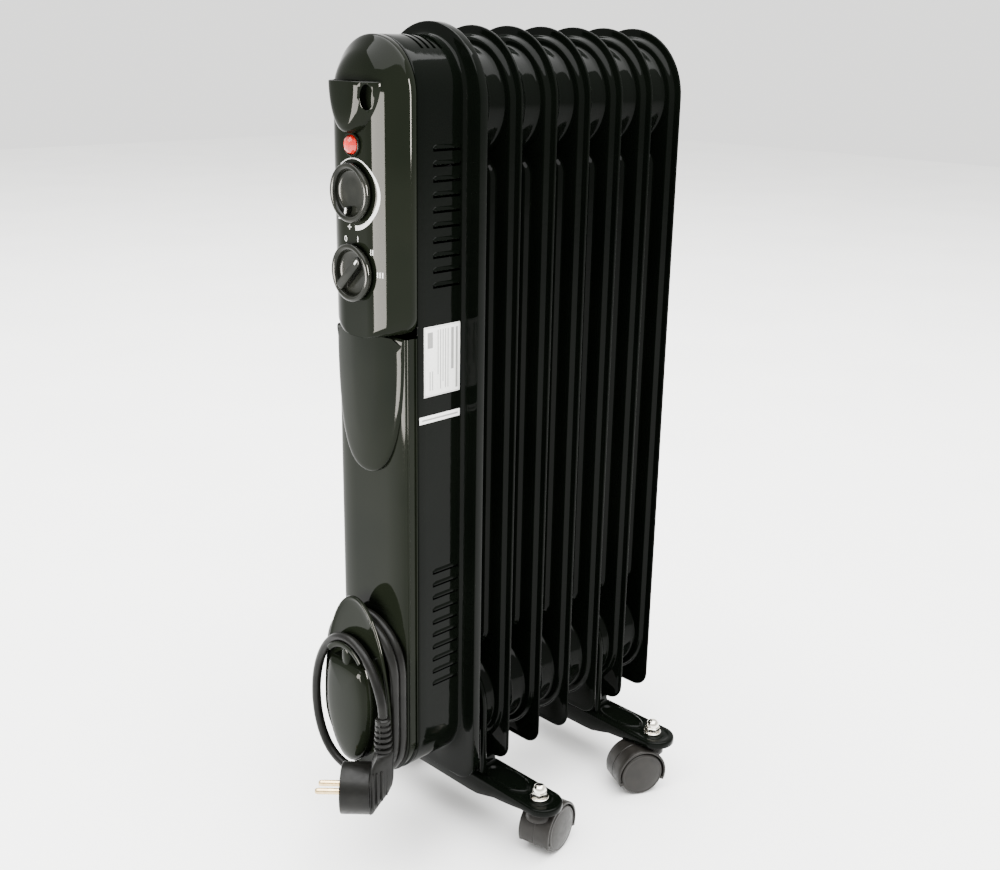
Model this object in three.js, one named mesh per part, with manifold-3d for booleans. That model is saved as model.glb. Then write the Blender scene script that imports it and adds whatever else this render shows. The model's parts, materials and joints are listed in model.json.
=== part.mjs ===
// Oil filled radiator heater: seven hollow pressed-steel sections on two cross feet with
// twin-wheel casters, and a control housing at the -X end that carries the cord winder.
// Millimetres. +X runs from the control panel to the last section, +Z is up, floor at z = 0.
import * as THREE from 'three';
import { mergeVertices } from 'three/addons/utils/BufferGeometryUtils.js';
import Module from 'manifold-3d';

const wasm = await Module();
wasm.setup();

// ---- driving dimensions -------------------------------------------------------------------
const GAP = 0.3;                    // clearance between pieces that touch
const SHEET = 1.0;                  // pressed steel sheet
const SECTIONS = 7;
const PITCH = 36;                   // section to section along X
const FIN_BOTTOM = 60;
const FIN_HEIGHT = 580;
const FIN_HALF = 52.5;              // half width of a section, along Y
const FIN_FOOT_RADIUS = 15;
const FLANGE_HALF = 0.9;            // half thickness of the welded seam flange
const PRESSING_HALF = 4.5;          // half thickness of the long pressing
const PRESSING_MARGIN = 6.5;
const CHANNEL_HALF_WIDTH = 31;
const CHANNEL_HALF_DEPTH = 9;
const CHANNEL_LOW = 102;            // above FIN_BOTTOM
const CHANNEL_HIGH = 488;
const COLLAR_RADIUS = 36;
const COLLAR_LOW = 52;              // collar centres, above FIN_BOTTOM
const COLLAR_HIGH = 527;
const COLLAR_BORE = 32;
const PORT_RADIUS = 15;             // threaded ports in the first section

const HOUSING_HALF = 39.5;          // half width of the control housing
const HOUSING_TOP = 633;
const HOUSING_BOTTOM = 74;
const HOUSING_FRONT = -50;          // the plastic face starts here
const RIM_FRONT = -6;
const RIM_BACK = 1.5;
const RIM_HALF = 54;
const RIM_BOTTOM = 58;
const FACE_EDGE = -59;              // front corner of the lower face
const FACE_CREST = -62.3;           // middle of the lower face
const COVER_EDGE = -57;             // front corner of the control cover
const COVER_CREST = -73;            // flat middle of the control cover
const COVER_SLOPE = 17.5;           // width of the slope all round the cover
const COVER_BOTTOM = 431;
const TONGUE_BOTTOM = 327;
const TONGUE_HALF = 36.5;
const TONGUE_CREST = -66.8;
const TONGUE_CROWN = 155;           // radius of the tongue's crowned front

const THERMOSTAT_Z = 529.5;
const MODE_Z = 474.7;
const LAMP_Z = 561.5;
const KNOB_RADIUS = 19.6;
const KNOB_FRONT = -79.4;
const SHAFT_RADIUS = 3;

const CUP_HALF = 25.3;
const CUP_TOP = 602.5;
const CUP_BOTTOM = 568.5;

const WINDER_MID = 145.5;           // height of the winding's middle
const WINDER_STRAIGHT = 27.5;       // half of its straight sides
const WINDING_OUTER = 42.1;
const WINDING_INNER = 27.2;
const WINDING_BACK = -62.8;
const WINDING_FRONT = -77.2;
const WINDER_FRONT = -80;           // front of the winder's flange
const DOME_HALF = 25.5;
const DOME_TOP = 177;
const DOME_BOTTOM = 92;

const CORD_RADIUS = 3.6;
const CORD_SIDES = 8;
const PLUG_FACE = [-110.6, -19.4, 87];
const PLUG_RADIUS = 19.5;
const RELIEF_PLACE = [-88, -42];
const RELIEF_LOW = 121;
const RELIEF_HIGH = 147.5;

const FOOT_SECTIONS = [0.78, 4.78]; // foot places, in pitches from the first section
const FOOT_HALF_SPAN = 116;
const FOOT_HALF_WIDTH = 16;
const FOOT_TOP = 51.5;
const FOOT_SHEET = 2;
const CASTER_Y = 96;                // stem places along Y
const WHEEL_RADIUS = 19.5;          // to the flats of the wheel's outline
const WHEEL_SIDES = 20;
const WHEEL_WIDTH = 11.5;
const CASTER_WEB = 2.6;             // half thickness of the web between the wheels
const CASTER_TRAIL = 14;
const HOOD_RADIUS = 22.6;
const CASTER_TURNS = [11.5, 154, -26, 200]; // degrees about Z, one for each caster
const HOOD_WIDTH = 28;
const CLAMP_Y = 40;                 // U-bolt legs along Y
const CLAMP_OFFSET = -9;            // U-bolt from the foot's middle, along X
const LOUVRES = 10;
const LOUVRE_STEP = 10.4;
const UPPER_LOUVRE = 559;           // top louvre of each set
const LOWER_LOUVRE = 248;
const WALL = 2.2;                   // moulded walls
const CUP_FRONT = -82;
const CUP_SLOPE = -70.5;             // where the cup's sides start to lean in
const KNOB_BACK = -73.3;
const THERMOSTAT_TURN = 3.4;        // pointers at rest, radians clockwise from upright
const MODE_TURN = 0.8;
const EGG_HALF = 40;
const EGG_MIDDLE = 128;
const EGG_TOP = 229;
const SADDLE_Z = 168;
const SADDLE_RADIUS = 24.9;
const GLAND_TILT = 0.3;
const GLAND_PLACE = [-69.4, 18.4, 127.7];

const X_FRONT = -92.5;              // foremost point of the winder's dome
const X_BACK = (SECTIONS - 1) * PITCH + CHANNEL_HALF_DEPTH;
const X_MIDDLE = (X_FRONT + X_BACK) / 2;

// ---- materials ----------------------------------------------------------------------------
const paint = (color, roughness, metalness) =>
  new THREE.MeshStandardMaterial({ color, roughness, metalness });
const finishes = {
  enamel: paint(0x0e100f, 0.16, 0.0),
  gloss: paint(0x0b0c0c, 0.12, 0.0),
  satin: paint(0x1a1b1b, 0.4, 0.0),
  caster: paint(0x4a4845, 0.5, 0.0),
  cord: paint(0x2b2b29, 0.5, 0.0),
  nickel: paint(0xd2d0ca, 0.2, 1.0),
  brass: paint(0xc2a86a, 0.28, 1.0),
  zinc: paint(0xa9adb0, 0.38, 1.0),
  lamp: paint(0xd03028, 0.15, 0.0),
  moulding: paint(0xd9d6cc, 0.55, 0.0),
};

// ---- geometry helpers ---------------------------------------------------------------------
const AXES_X = new THREE.Matrix4().makeBasis(
  new THREE.Vector3(0, 1, 0), new THREE.Vector3(0, 0, 1), new THREE.Vector3(1, 0, 0));

function toSolid(geometry) {
  const bare = geometry.index ? geometry.toNonIndexed() : geometry.clone();
  bare.deleteAttribute('normal');
  bare.deleteAttribute('uv');
  const merged = mergeVertices(bare, 1e-4);
  const mesh = new wasm.Mesh({
    numProp: 3,
    vertProperties: new Float32Array(merged.attributes.position.array),
    triVerts: new Uint32Array(merged.index.array),
  });
  mesh.merge();
  return new wasm.Manifold(mesh);
}

function toGeometry(solid) {
  const mesh = solid.getMesh();
  const geometry = new THREE.BufferGeometry();
  geometry.setAttribute('position', new THREE.BufferAttribute(mesh.vertProperties, 3));
  geometry.setIndex(new THREE.BufferAttribute(mesh.triVerts, 1));
  geometry.computeVertexNormals();
  return geometry;
}

function join(...geometries) {
  return toGeometry(geometries.map(toSolid).reduce((sum, next) => sum.add(next)));
}

function cut(base, ...tools) {
  return toGeometry(tools.map(toSolid).reduce((rest, tool) => rest.subtract(tool), toSolid(base)));
}

function keep(base, limit) {
  return toGeometry(toSolid(base).intersect(toSolid(limit)));
}

// A shape drawn with x as Y and y as Z, swept along X from x0 to x1.
function plateX(shape, x0, x1, curveSegments = 8, bevel = 0) {
  const geometry = new THREE.ExtrudeGeometry(shape, {
    depth: x1 - x0 - 2 * bevel, curveSegments, bevelEnabled: bevel > 0,
    bevelThickness: bevel, bevelSize: bevel, bevelOffset: -bevel, bevelSegments: 1,
  });
  return geometry.applyMatrix4(AXES_X).translate(x0 + bevel, 0, 0);
}

function plateZ(shape, z0, z1, curveSegments = 6) {
  return new THREE.ExtrudeGeometry(shape, { depth: z1 - z0, curveSegments, bevelEnabled: false })
    .translate(0, 0, z0);
}

function box(x0, x1, y0, y1, z0, z1) {
  return new THREE.BoxGeometry(x1 - x0, y1 - y0, z1 - z0)
    .translate((x0 + x1) / 2, (y0 + y1) / 2, (z0 + z1) / 2);
}

function rodX(radius, x0, x1, y, z, sides = 16, radiusAtX1 = radius) {
  return new THREE.CylinderGeometry(radius, radiusAtX1, x1 - x0, sides)
    .rotateZ(Math.PI / 2).translate((x0 + x1) / 2, y, z);
}

function rodZ(radius, z0, z1, x, y, sides = 12, radiusAtTop = radius) {
  return new THREE.CylinderGeometry(radiusAtTop, radius, z1 - z0, sides)
    .rotateX(Math.PI / 2).translate(x, y, (z0 + z1) / 2);
}

// An upright outline with round corners: one radius at the top and one at the bottom.
function outline(half, low, high, topRadius, bottomRadius) {
  const shape = new THREE.Shape();
  shape.moveTo(half, low + bottomRadius);
  shape.lineTo(half, high - topRadius);
  shape.absarc(half - topRadius, high - topRadius, topRadius, 0, Math.PI / 2);
  shape.absarc(topRadius - half, high - topRadius, topRadius, Math.PI / 2, Math.PI);
  shape.lineTo(-half, low + bottomRadius);
  shape.absarc(bottomRadius - half, low + bottomRadius, bottomRadius, Math.PI, 1.5 * Math.PI);
  shape.absarc(half - bottomRadius, low + bottomRadius, bottomRadius, 1.5 * Math.PI, 2 * Math.PI);
  return shape;
}

function stadium(half, middle, straight) {
  return outline(half, middle - straight - half, middle + straight + half, half, half);
}

function tube(points, radius, steps, sides) {
  const section = new THREE.Shape();
  for (let side = 0; side < sides; side += 1) {
    const turn = (2 * Math.PI * side) / sides;
    section[side ? 'lineTo' : 'moveTo'](radius * Math.cos(turn), radius * Math.sin(turn));
  }
  section.closePath();
  const path = new THREE.CatmullRomCurve3(points.map((point) => new THREE.Vector3(...point)));
  return new THREE.ExtrudeGeometry(section, { steps, bevelEnabled: false, extrudePath: path });
}

const heater = new THREE.Group();
heater.position.x = -X_MIDDLE;

function add(name, geometry, finish, parent = heater) {
  const mesh = new THREE.Mesh(geometry, finish);
  mesh.name = name;
  parent.add(mesh);
  return mesh;
}

// ---- oil sections -------------------------------------------------------------------------
function finOutline(inset) {
  return outline(FIN_HALF - inset, FIN_BOTTOM + inset, FIN_BOTTOM + FIN_HEIGHT - inset,
    FIN_HALF - inset, Math.max(FIN_FOOT_RADIUS - inset, 2));
}

function pressing(inset) {
  const half = FIN_HALF - PRESSING_MARGIN - inset;
  const middle = FIN_BOTTOM + (COLLAR_LOW + COLLAR_HIGH) / 2;
  return stadium(half, middle, (COLLAR_HIGH - COLLAR_LOW) / 2);
}

function channel(inset) {
  return outline(CHANNEL_HALF_WIDTH - inset, FIN_BOTTOM + CHANNEL_LOW + inset,
    FIN_BOTTOM + CHANNEL_HIGH - inset, 14 - inset, 14 - inset);
}

function section(index) {
  const first = index === 0;
  const last = index === SECTIONS - 1;
  const reach = PITCH / 2 - GAP / 2;
  const left = first ? -CHANNEL_HALF_DEPTH : -reach;
  const right = last ? CHANNEL_HALF_DEPTH : reach;
  const heights = [FIN_BOTTOM + COLLAR_LOW, FIN_BOTTOM + COLLAR_HIGH];
  const outside = [
    plateX(pressing(0), -PRESSING_HALF, PRESSING_HALF, 4),
    plateX(channel(0), -CHANNEL_HALF_DEPTH, CHANNEL_HALF_DEPTH, 1),
    ...heights.map((z) => rodX(COLLAR_RADIUS, left, right, 0, z, 14)),
  ];
  const inside = [
    plateX(pressing(2), SHEET - PRESSING_HALF, PRESSING_HALF - SHEET, 2),
    plateX(channel(SHEET), SHEET - CHANNEL_HALF_DEPTH, CHANNEL_HALF_DEPTH - SHEET, 1),
    ...heights.map((z) => rodX(COLLAR_BORE, first ? 0 : left - 1, last ? 0 : right + 1, 0, z, 12)),
  ];
  if (first) {
    inside.push(...heights.map((z) => rodX(PORT_RADIUS, left - 1, 1, 0, z, 10)));
  }
  return cut(join(plateX(finOutline(0), -FLANGE_HALF, FLANGE_HALF, 5), ...outside), ...inside);
}

for (let index = 0; index < SECTIONS; index += 1) {
  add(`fin_${index + 1}`, section(index), finishes.enamel).position.x = index * PITCH;
}

// ---- heating element and the fittings on the first section ---------------------------------
const elementZ = FIN_BOTTOM + COLLAR_LOW;
const fillerZ = FIN_BOTTOM + COLLAR_HIGH;
const elementEnd = (SECTIONS - 1) * PITCH - 30;

add('heating_element', tube([
  [-8.4, 0, elementZ - 7], [60, 0, elementZ - 7], [140, 0, elementZ - 7],
  [elementEnd - 8, 0, elementZ - 7], [elementEnd, 0, elementZ],
  [elementEnd - 8, 0, elementZ + 7], [140, 0, elementZ + 7], [60, 0, elementZ + 7],
  [-8.4, 0, elementZ + 7],
], 3.6, 20, 6), finishes.zinc);

function threadedPlug(z, head) {
  return join(rodX(18, -CHANNEL_HALF_DEPTH - GAP - 6, -CHANNEL_HALF_DEPTH - GAP, 0, z, 6),
    rodX(head, -CHANNEL_HALF_DEPTH - GAP - 10, -CHANNEL_HALF_DEPTH - GAP - 5, 0, z, 12));
}
add('element_flange', threadedPlug(elementZ, 12), finishes.brass);
add('oil_filler_plug', threadedPlug(fillerZ, 8), finishes.zinc);
add('thermal_cutout', join(
  rodX(12, -CHANNEL_HALF_DEPTH - GAP - 7, -CHANNEL_HALF_DEPTH - GAP, 0, 330, 12),
  box(-CHANNEL_HALF_DEPTH - GAP - 3, -CHANNEL_HALF_DEPTH - GAP, -18, 18, 325, 335),
), finishes.moulding);

// ---- control housing ----------------------------------------------------------------------
function housingOutline(inset) {
  const half = HOUSING_HALF - inset;
  return outline(half, HOUSING_BOTTOM + inset, HOUSING_TOP - inset, half, half);
}

function rimOutline() {
  return outline(RIM_HALF, RIM_BOTTOM, FIN_BOTTOM + FIN_HEIGHT + 2, RIM_HALF, FIN_FOOT_RADIUS + 4);
}

function ventSlots() {
  const slots = [];
  for (let row = 0; row < LOUVRES; row += 1) {
    for (const side of [-1, 1]) {
      for (const top of [UPPER_LOUVRE, LOWER_LOUVRE]) {
        const z = top - LOUVRE_STEP * row;
        const y = side * HOUSING_HALF;
        slots.push(box(-36, -10.5, y - 3, y + 3, z - 1.2, z + 1.2));
      }
    }
  }
  for (let row = 0; row < 4; row += 1) {
    const x = -34 + 5.6 * row;
    slots.push(box(x, x + 2.6, -26, 26, HOUSING_TOP - 14, HOUSING_TOP + 4));
  }
  return slots;
}

add('housing_shell', cut(
  join(
    plateX(housingOutline(0), HOUSING_FRONT, RIM_FRONT + 0.5, 6),
    plateX(rimOutline(), RIM_FRONT, RIM_BACK, 6),
  ),
  plateX(housingOutline(SHEET), HOUSING_FRONT - 1, RIM_FRONT + 2, 6),
  plateX(finOutline(-GAP), RIM_FRONT + SHEET, RIM_BACK + 1, 5),
  ...ventSlots(),
), finishes.enamel);

// A moulding with a straight skirt from back to edge and a rounded front up to its crest.
function domed(shape, back, edge, crest, inset, curveSegments = 6, bevelSegments = 3) {
  const geometry = new THREE.ExtrudeGeometry(shape, {
    depth: back - edge + 1, curveSegments, bevelEnabled: true, bevelThickness: edge - crest,
    bevelSize: inset, bevelOffset: -inset, bevelSegments,
  }).applyMatrix4(AXES_X).translate(edge, 0, 0);
  return keep(geometry, box(crest - 1, back, -90, 90, 0, 700));
}

const skirt = HOUSING_FRONT - GAP;
const lowerHalf = HOUSING_HALF - 2;
const lowerFace = (inset) => outline(lowerHalf - inset, HOUSING_BOTTOM + 1 + inset,
  COVER_BOTTOM + 60, lowerHalf - inset, lowerHalf - inset);
const belowCover = box(-90, 0, -90, 90, 0, COVER_BOTTOM - GAP);
add('front_panel', cut(
  keep(domed(lowerFace(0), skirt, FACE_EDGE, FACE_CREST, 20), belowCover),
  domed(lowerFace(WALL), skirt + 1, FACE_EDGE + WALL, FACE_CREST + WALL, 18, 5),
), finishes.gloss);

const coverFace = (inset) => outline(HOUSING_HALF - inset, COVER_BOTTOM - 80,
  HOUSING_TOP - inset, HOUSING_HALF - inset, HOUSING_HALF - inset);
add('control_cover', cut(
  keep(domed(coverFace(0), skirt, COVER_EDGE, COVER_CREST, COVER_SLOPE, 6, 1),
    plateX(outline(HOUSING_HALF + 0.5, COVER_BOTTOM, 700, 20, 8), -90, 0, 3)),
  domed(coverFace(WALL), skirt + 1, COVER_EDGE + 1, COVER_CREST + WALL, COVER_SLOPE, 5, 1),
  rodX(SHAFT_RADIUS + GAP, -90, -40, 0, THERMOSTAT_Z, 12),
  rodX(SHAFT_RADIUS + GAP, -90, -40, 0, MODE_Z, 12),
  rodX(5.6, -90, -40, 0, LAMP_Z, 12),
), finishes.gloss);

// The smooth tongue that runs down from the control cover and ends in a round tip.
const tongueShape = new THREE.Shape();
tongueShape.moveTo(TONGUE_HALF, COVER_BOTTOM - GAP);
tongueShape.bezierCurveTo(TONGUE_HALF + 1, 352, 23, TONGUE_BOTTOM, 0, TONGUE_BOTTOM);
tongueShape.bezierCurveTo(-23, TONGUE_BOTTOM, -TONGUE_HALF - 1, 352,
  -TONGUE_HALF, COVER_BOTTOM - GAP);
add('panel_tongue', cut(
  keep(plateX(tongueShape, TONGUE_CREST, FACE_EDGE, 9, 1.2),
    rodZ(TONGUE_CROWN, 300, COVER_BOTTOM + 5, TONGUE_CREST + TONGUE_CROWN, 0, 72)),
  domed(lowerFace(-GAP), skirt, FACE_EDGE - GAP, FACE_CREST - GAP, 20),
), finishes.gloss);

// A half-moon seen from the front: half an ellipse, with a flat top edge.
function halfMoon(half, top, bottom, rise = 0) {
  const shape = new THREE.Shape();
  shape.moveTo(-half, top + rise);
  shape.absellipse(0, top, half, top - bottom, Math.PI, 2 * Math.PI);
  if (rise > 0) {
    shape.lineTo(half, top + rise);
  }
  return shape;
}

// A convex solid through upright faces, each given as [shape, x].
function hull(...faces) {
  const thin = faces.map(([shape, x]) => toSolid(plateX(shape, x, x + 0.02, 12)));
  return toGeometry(wasm.Manifold.hull(thin));
}

// The half-moon cup on the control cover: open at the top, with an oval finger hole.
const fingerHole = rodX(4.4, -104, -68, 0, 0, 10).scale(1, 1, 1.9).rotateZ(Math.PI / 4)
  .translate(-20.2, 37.3, CUP_TOP - 9.5);
const moon = (x, inset, wall) =>
  [halfMoon(CUP_HALF - inset - wall, CUP_TOP, CUP_BOTTOM + inset + wall, wall * 8), x];
add('handle_cup', cut(
  hull(moon(-60, 0, 0), moon(CUP_SLOPE, 0, 0), moon(-77, 5, 0), moon(CUP_FRONT, 11.5, 0)),
  keep(domed(coverFace(-GAP), skirt, COVER_EDGE - GAP, COVER_CREST - GAP, COVER_SLOPE, 6, 1),
    box(-90, 0, -90, 90, COVER_BOTTOM, 700)),
  hull(moon(-58, 0, WALL), moon(CUP_SLOPE + 1, 0, WALL), moon(-75.6, 5, WALL),
    moon(CUP_FRONT + WALL, 11.5, WALL)),
  fingerHole,
), finishes.gloss);

// ---- controls -----------------------------------------------------------------------------
function knob(z) {
  return join(
    rodX(KNOB_RADIUS, KNOB_FRONT, KNOB_FRONT + 2.4, 0, z, 28, KNOB_RADIUS + 0.6),
    rodX(KNOB_RADIUS + 0.6, KNOB_FRONT + 2.3, KNOB_BACK, 0, z, 28, KNOB_RADIUS - 2),
    rodX(SHAFT_RADIUS, KNOB_BACK - 1, -49.5, 0, z, 12),
  );
}
const dish = (z) => rodX(15.4, KNOB_FRONT - 1, KNOB_FRONT + 4.2, 0, z, 20);
const pointer = box(KNOB_FRONT + 0.4, KNOB_FRONT + 5, -2, 2, 10.5, 15.8)
  .rotateX(THERMOSTAT_TURN).translate(0, 0, THERMOSTAT_Z);
const grip = box(KNOB_FRONT - 0.6, KNOB_FRONT + 5, -3.2, 3.2, -16, 16)
  .rotateX(MODE_TURN).translate(0, 0, MODE_Z);
add('thermostat_knob', join(cut(knob(THERMOSTAT_Z), dish(THERMOSTAT_Z)), pointer),
  finishes.satin);
add('mode_knob', join(cut(knob(MODE_Z), dish(MODE_Z)), grip), finishes.satin);

add('thermostat', join(
  box(-48.9, -30, -15, 15, THERMOSTAT_Z - 15, THERMOSTAT_Z + 15),
  rodX(5, -31, -24, 8, THERMOSTAT_Z, 10),
), finishes.moulding);
add('mode_switch', join(
  box(-48.9, -26, -14, 14, MODE_Z - 14, MODE_Z + 14),
  box(-27, -21, -10, 10, MODE_Z - 2, MODE_Z + 2),
), finishes.moulding);
add('lamp_lens', join(
  rodX(5, -79, -73.3, 0, LAMP_Z, 14, 6.4),
  rodX(5.2, -74, -58, 0, LAMP_Z, 12),
), finishes.lamp);
add('lamp_holder', rodX(6, -57.6, -40, 0, LAMP_Z, 12), finishes.moulding);
add('terminal_block', box(-46, -28, -20, 20, 380, 398), finishes.moulding);

// ---- cord winder --------------------------------------------------------------------------
const hubBack = FACE_CREST - GAP;
add('winder_hub', cut(
  plateX(stadium(WINDING_INNER - 0.6, WINDER_MID, WINDER_STRAIGHT), WINDING_FRONT, hubBack, 4),
  box(-90, -60, 7, 40, 104, 178),
), finishes.gloss);

// An egg: a half ellipse over a half circle.
const egg = new THREE.Shape();
egg.moveTo(EGG_HALF, EGG_MIDDLE);
egg.absellipse(0, EGG_MIDDLE, EGG_HALF, EGG_TOP - EGG_MIDDLE, 0, Math.PI);
egg.absarc(0, EGG_MIDDLE, EGG_HALF, Math.PI, 2 * Math.PI);
add('winder_flange', plateX(egg, WINDER_FRONT, WINDING_FRONT - GAP, 12, 0.6), finishes.gloss);

// The dome on the flange, with the curved saddle that the cord's last loop hangs over.
const saddle = new THREE.Shape();
saddle.absarc(0, SADDLE_Z, SADDLE_RADIUS, 0.22 * Math.PI, 0.78 * Math.PI);
saddle.absarc(0, SADDLE_Z, SADDLE_RADIUS - 3, 0.78 * Math.PI, 0.22 * Math.PI, true);
const saddlePost = box(-90, WINDER_FRONT - GAP, -6, 6, DOME_TOP - 4, SADDLE_Z + SADDLE_RADIUS - 2);
add('winder_dome', join(
  domed(halfMoon(DOME_HALF, DOME_TOP, DOME_BOTTOM), WINDER_FRONT - GAP, -86, X_FRONT, 5),
  plateX(saddle, -91.5, WINDER_FRONT - GAP, 5), saddlePost,
), finishes.gloss);

// ---- cord ---------------------------------------------------------------------------------
add('cord_gland', join(
  new THREE.CylinderGeometry(4.3, 5.6, 30, 12).rotateX(Math.PI / 2).rotateX(-GLAND_TILT)
    .translate(GLAND_PLACE[0], GLAND_PLACE[1], GLAND_PLACE[2]),
  box(GLAND_PLACE[0] - 3.4, hubBack, 9, 19, 109, 119),
), finishes.cord);

const ring = stadium(WINDING_OUTER, WINDER_MID, WINDER_STRAIGHT);
ring.holes.push(stadium(WINDING_INNER, WINDER_MID, WINDER_STRAIGHT));
add('cord_winding', plateX(ring, WINDING_FRONT, WINDING_BACK, 5), finishes.cord);

const cordRoute = [
  [-81.9, 6, 79.3], [-84.2, 17, 82.2], [-85.8, 28, 89.6], [-86.8, 36.6, 103], [-87.4, 41, 121],
  [-87.6, 41.5, 141], [-87.4, 38, 161], [-87, 28.8, 181], [-86.6, 15.8, 193.2],
  [-86.5, 0, 197.6], [-86.6, -15.8, 193.2], [-87, -28.8, 181], [-87.6, -38, 165.5],
  [-88, -41.5, 155.5], [-88, -42, RELIEF_HIGH + 2 * GAP],
];
add('cord_lead', tube(cordRoute, CORD_RADIUS, 25, CORD_SIDES), finishes.cord);

const [reliefX, reliefY] = RELIEF_PLACE;
add('plug_relief', rodZ(7.2, RELIEF_LOW, RELIEF_HIGH, reliefX, reliefY, 12, 5.4), finishes.cord);

const PIN_Y = 9.15;
const PIN_Z = 2.55;
// The plug is modelled with its pins along -X, then turned so that they point along PLUG_AXIS.
const plug = new THREE.Group();
plug.position.set(...PLUG_FACE);
plug.rotation.z = -Math.PI / 4;
heater.add(plug);
const back = new THREE.Shape();
back.moveTo(22.5, -15);
back.lineTo(22.5, 15);
back.lineTo(39, 4.6);
back.lineTo(39, -4.6);
const backSide = new THREE.Shape();
backSide.moveTo(22, -18.5);
backSide.lineTo(37, 0);
backSide.lineTo(39, 8);
backSide.lineTo(39, RELIEF_LOW - GAP - PLUG_FACE[2]);
backSide.lineTo(25, RELIEF_LOW - GAP - PLUG_FACE[2]);
backSide.lineTo(22, 16);
const sidePrism = new THREE.ExtrudeGeometry(backSide, { depth: 40, bevelEnabled: false })
  .rotateX(Math.PI / 2).translate(0, 20, 0);
add('plug_body', cut(
  join(rodX(PLUG_RADIUS, 0, 23, 0, 0, 24), keep(plateZ(back, -20, 40), sidePrism)),
  rodX(2.6, -1, 8, -PIN_Y, PIN_Z, 10), rodX(2.6, -1, 8, PIN_Y, -PIN_Z, 10),
), finishes.cord, plug);
add('plug_pin_1', rodX(2.3, -19, 7, -PIN_Y, PIN_Z, 10), finishes.brass, plug);
add('plug_pin_2', rodX(2.3, -19, 7, PIN_Y, -PIN_Z, 10), finishes.brass, plug);

// ---- feet ---------------------------------------------------------------------------------
const rounded = (inset) => {
  const half = FOOT_HALF_WIDTH - inset;
  const shape = new THREE.Shape();
  shape.absarc(0, FOOT_HALF_SPAN - FOOT_HALF_WIDTH, half, 0, Math.PI);
  shape.absarc(0, FOOT_HALF_WIDTH - FOOT_HALF_SPAN, half, Math.PI, 2 * Math.PI);
  return shape;
};
const sideFlange = new THREE.Shape();
sideFlange.moveTo(-120, FOOT_TOP + 10);
for (const [y, z] of [[-120, 45.6], [-98, 45.6], [-67, 41.6], [-35, 34.6], [35, 34.6], [67, 41.6],
  [98, 45.6], [120, 45.6], [120, FOOT_TOP + 10]]) {
  sideFlange.lineTo(y, z);
}

function footBar() {
  const holes = [-CASTER_Y, CASTER_Y].map((y) => rodZ(4.5, 40, 55, 0, y, 10));
  const boltHoles = [-CLAMP_Y, CLAMP_Y].map((y) => rodZ(3.5, 40, 62, CLAMP_OFFSET, y, 10));
  return cut(
    join(
      keep(plateZ(rounded(0), 30, FOOT_TOP, 4), plateX(sideFlange, -20, 20)),
      box(-10, 13, -34, 34, FOOT_TOP - 1, FIN_BOTTOM - GAP),
    ),
    plateZ(rounded(FOOT_SHEET), 20, FOOT_TOP - FOOT_SHEET, 3),
    box(-8, 11, -32, 32, 40, FIN_BOTTOM - GAP - FOOT_SHEET),
    ...holes, ...boltHoles,
  );
}

function uBolt() {
  const centre = FIN_BOTTOM + COLLAR_LOW;
  const points = [[0, -CLAMP_Y, 37], [0, -CLAMP_Y, 62], [0, -CLAMP_Y, 90], [0, -CLAMP_Y, centre]];
  for (let step = 1; step < 8; step += 1) {
    const turn = Math.PI * (1 - step / 8);
    points.push([0, CLAMP_Y * Math.cos(turn), centre + CLAMP_Y * Math.sin(turn)]);
  }
  points.push([0, CLAMP_Y, centre], [0, CLAMP_Y, 90], [0, CLAMP_Y, 62], [0, CLAMP_Y, 37]);
  return tube(points, 2.9, 22, 6);
}

function wingNut(y) {
  return cut(
    join(rodZ(4.8, 40.5, FOOT_TOP - FOOT_SHEET - GAP, 0, y, 10), box(-1.2, 1.2, y - 10, y + 10, 39, 46)),
    rodZ(3.3, 30, 60, 0, y, 10),
  );
}

FOOT_SECTIONS.forEach((place, foot) => {
  const group = new THREE.Group();
  group.position.x = place * PITCH;
  heater.add(group);
  add(`foot_bar_${foot + 1}`, footBar(), finishes.enamel, group);
  add(`foot_u_bolt_${foot + 1}`, uBolt(), finishes.enamel, group).position.x = CLAMP_OFFSET;
  [-1, 1].forEach((side, end) => {
    add(`wing_nut_${2 * foot + end + 1}`, wingNut(side * CLAMP_Y), finishes.zinc, group)
      .position.x = CLAMP_OFFSET;
  });
});

// ---- casters ------------------------------------------------------------------------------
// Each caster is modelled round its own upright stem, with the wheels trailing along +X.
function rodY(radius, y0, y1, x, z, sides) {
  return new THREE.CylinderGeometry(radius, radius, y1 - y0, sides)
    .rotateY(Math.PI / sides).translate(x, (y0 + y1) / 2, z);
}

function casterStem() {
  const dome = new THREE.LatheGeometry([
    new THREE.Vector2(0, 0), new THREE.Vector2(6.2, 0), new THREE.Vector2(5.6, 3),
    new THREE.Vector2(0, 6),
  ], 8).rotateX(Math.PI / 2).translate(0, 0, FOOT_TOP + 7);
  return join(
    rodZ(9, FOOT_TOP + GAP, FOOT_TOP + 1.8, 0, 0, 12),
    rodZ(7.4, FOOT_TOP + 1.5, FOOT_TOP + 7.2, 0, 0, 6),
    dome,
    rodZ(4, 40, FOOT_TOP + 2, 0, 0, 8),
  );
}

function casterHood() {
  const band = HOOD_WIDTH / 2;
  const axle = [CASTER_TRAIL, WHEEL_RADIUS];
  const shell = cut(
    rodY(HOOD_RADIUS, -band, band, ...axle, 20),
    rodY(HOOD_RADIUS - 2, -band - 1, -CASTER_WEB, ...axle, 20),
    rodY(HOOD_RADIUS - 2, CASTER_WEB, band + 1, ...axle, 20),
    box(-20, 50, -20, 20, -10, 12),
  );
  return cut(
    join(
      shell,
      rodZ(8, 39, FOOT_TOP - FOOT_SHEET - GAP, 0, 0, 12),
      box(-3, 8, -CASTER_WEB, CASTER_WEB, 30, 41),
      rodY(3, 1 - band, band - 1, ...axle, 10),
    ),
    rodZ(4.4, 39.6, 60, 0, 0, 8),
  );
}

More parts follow.
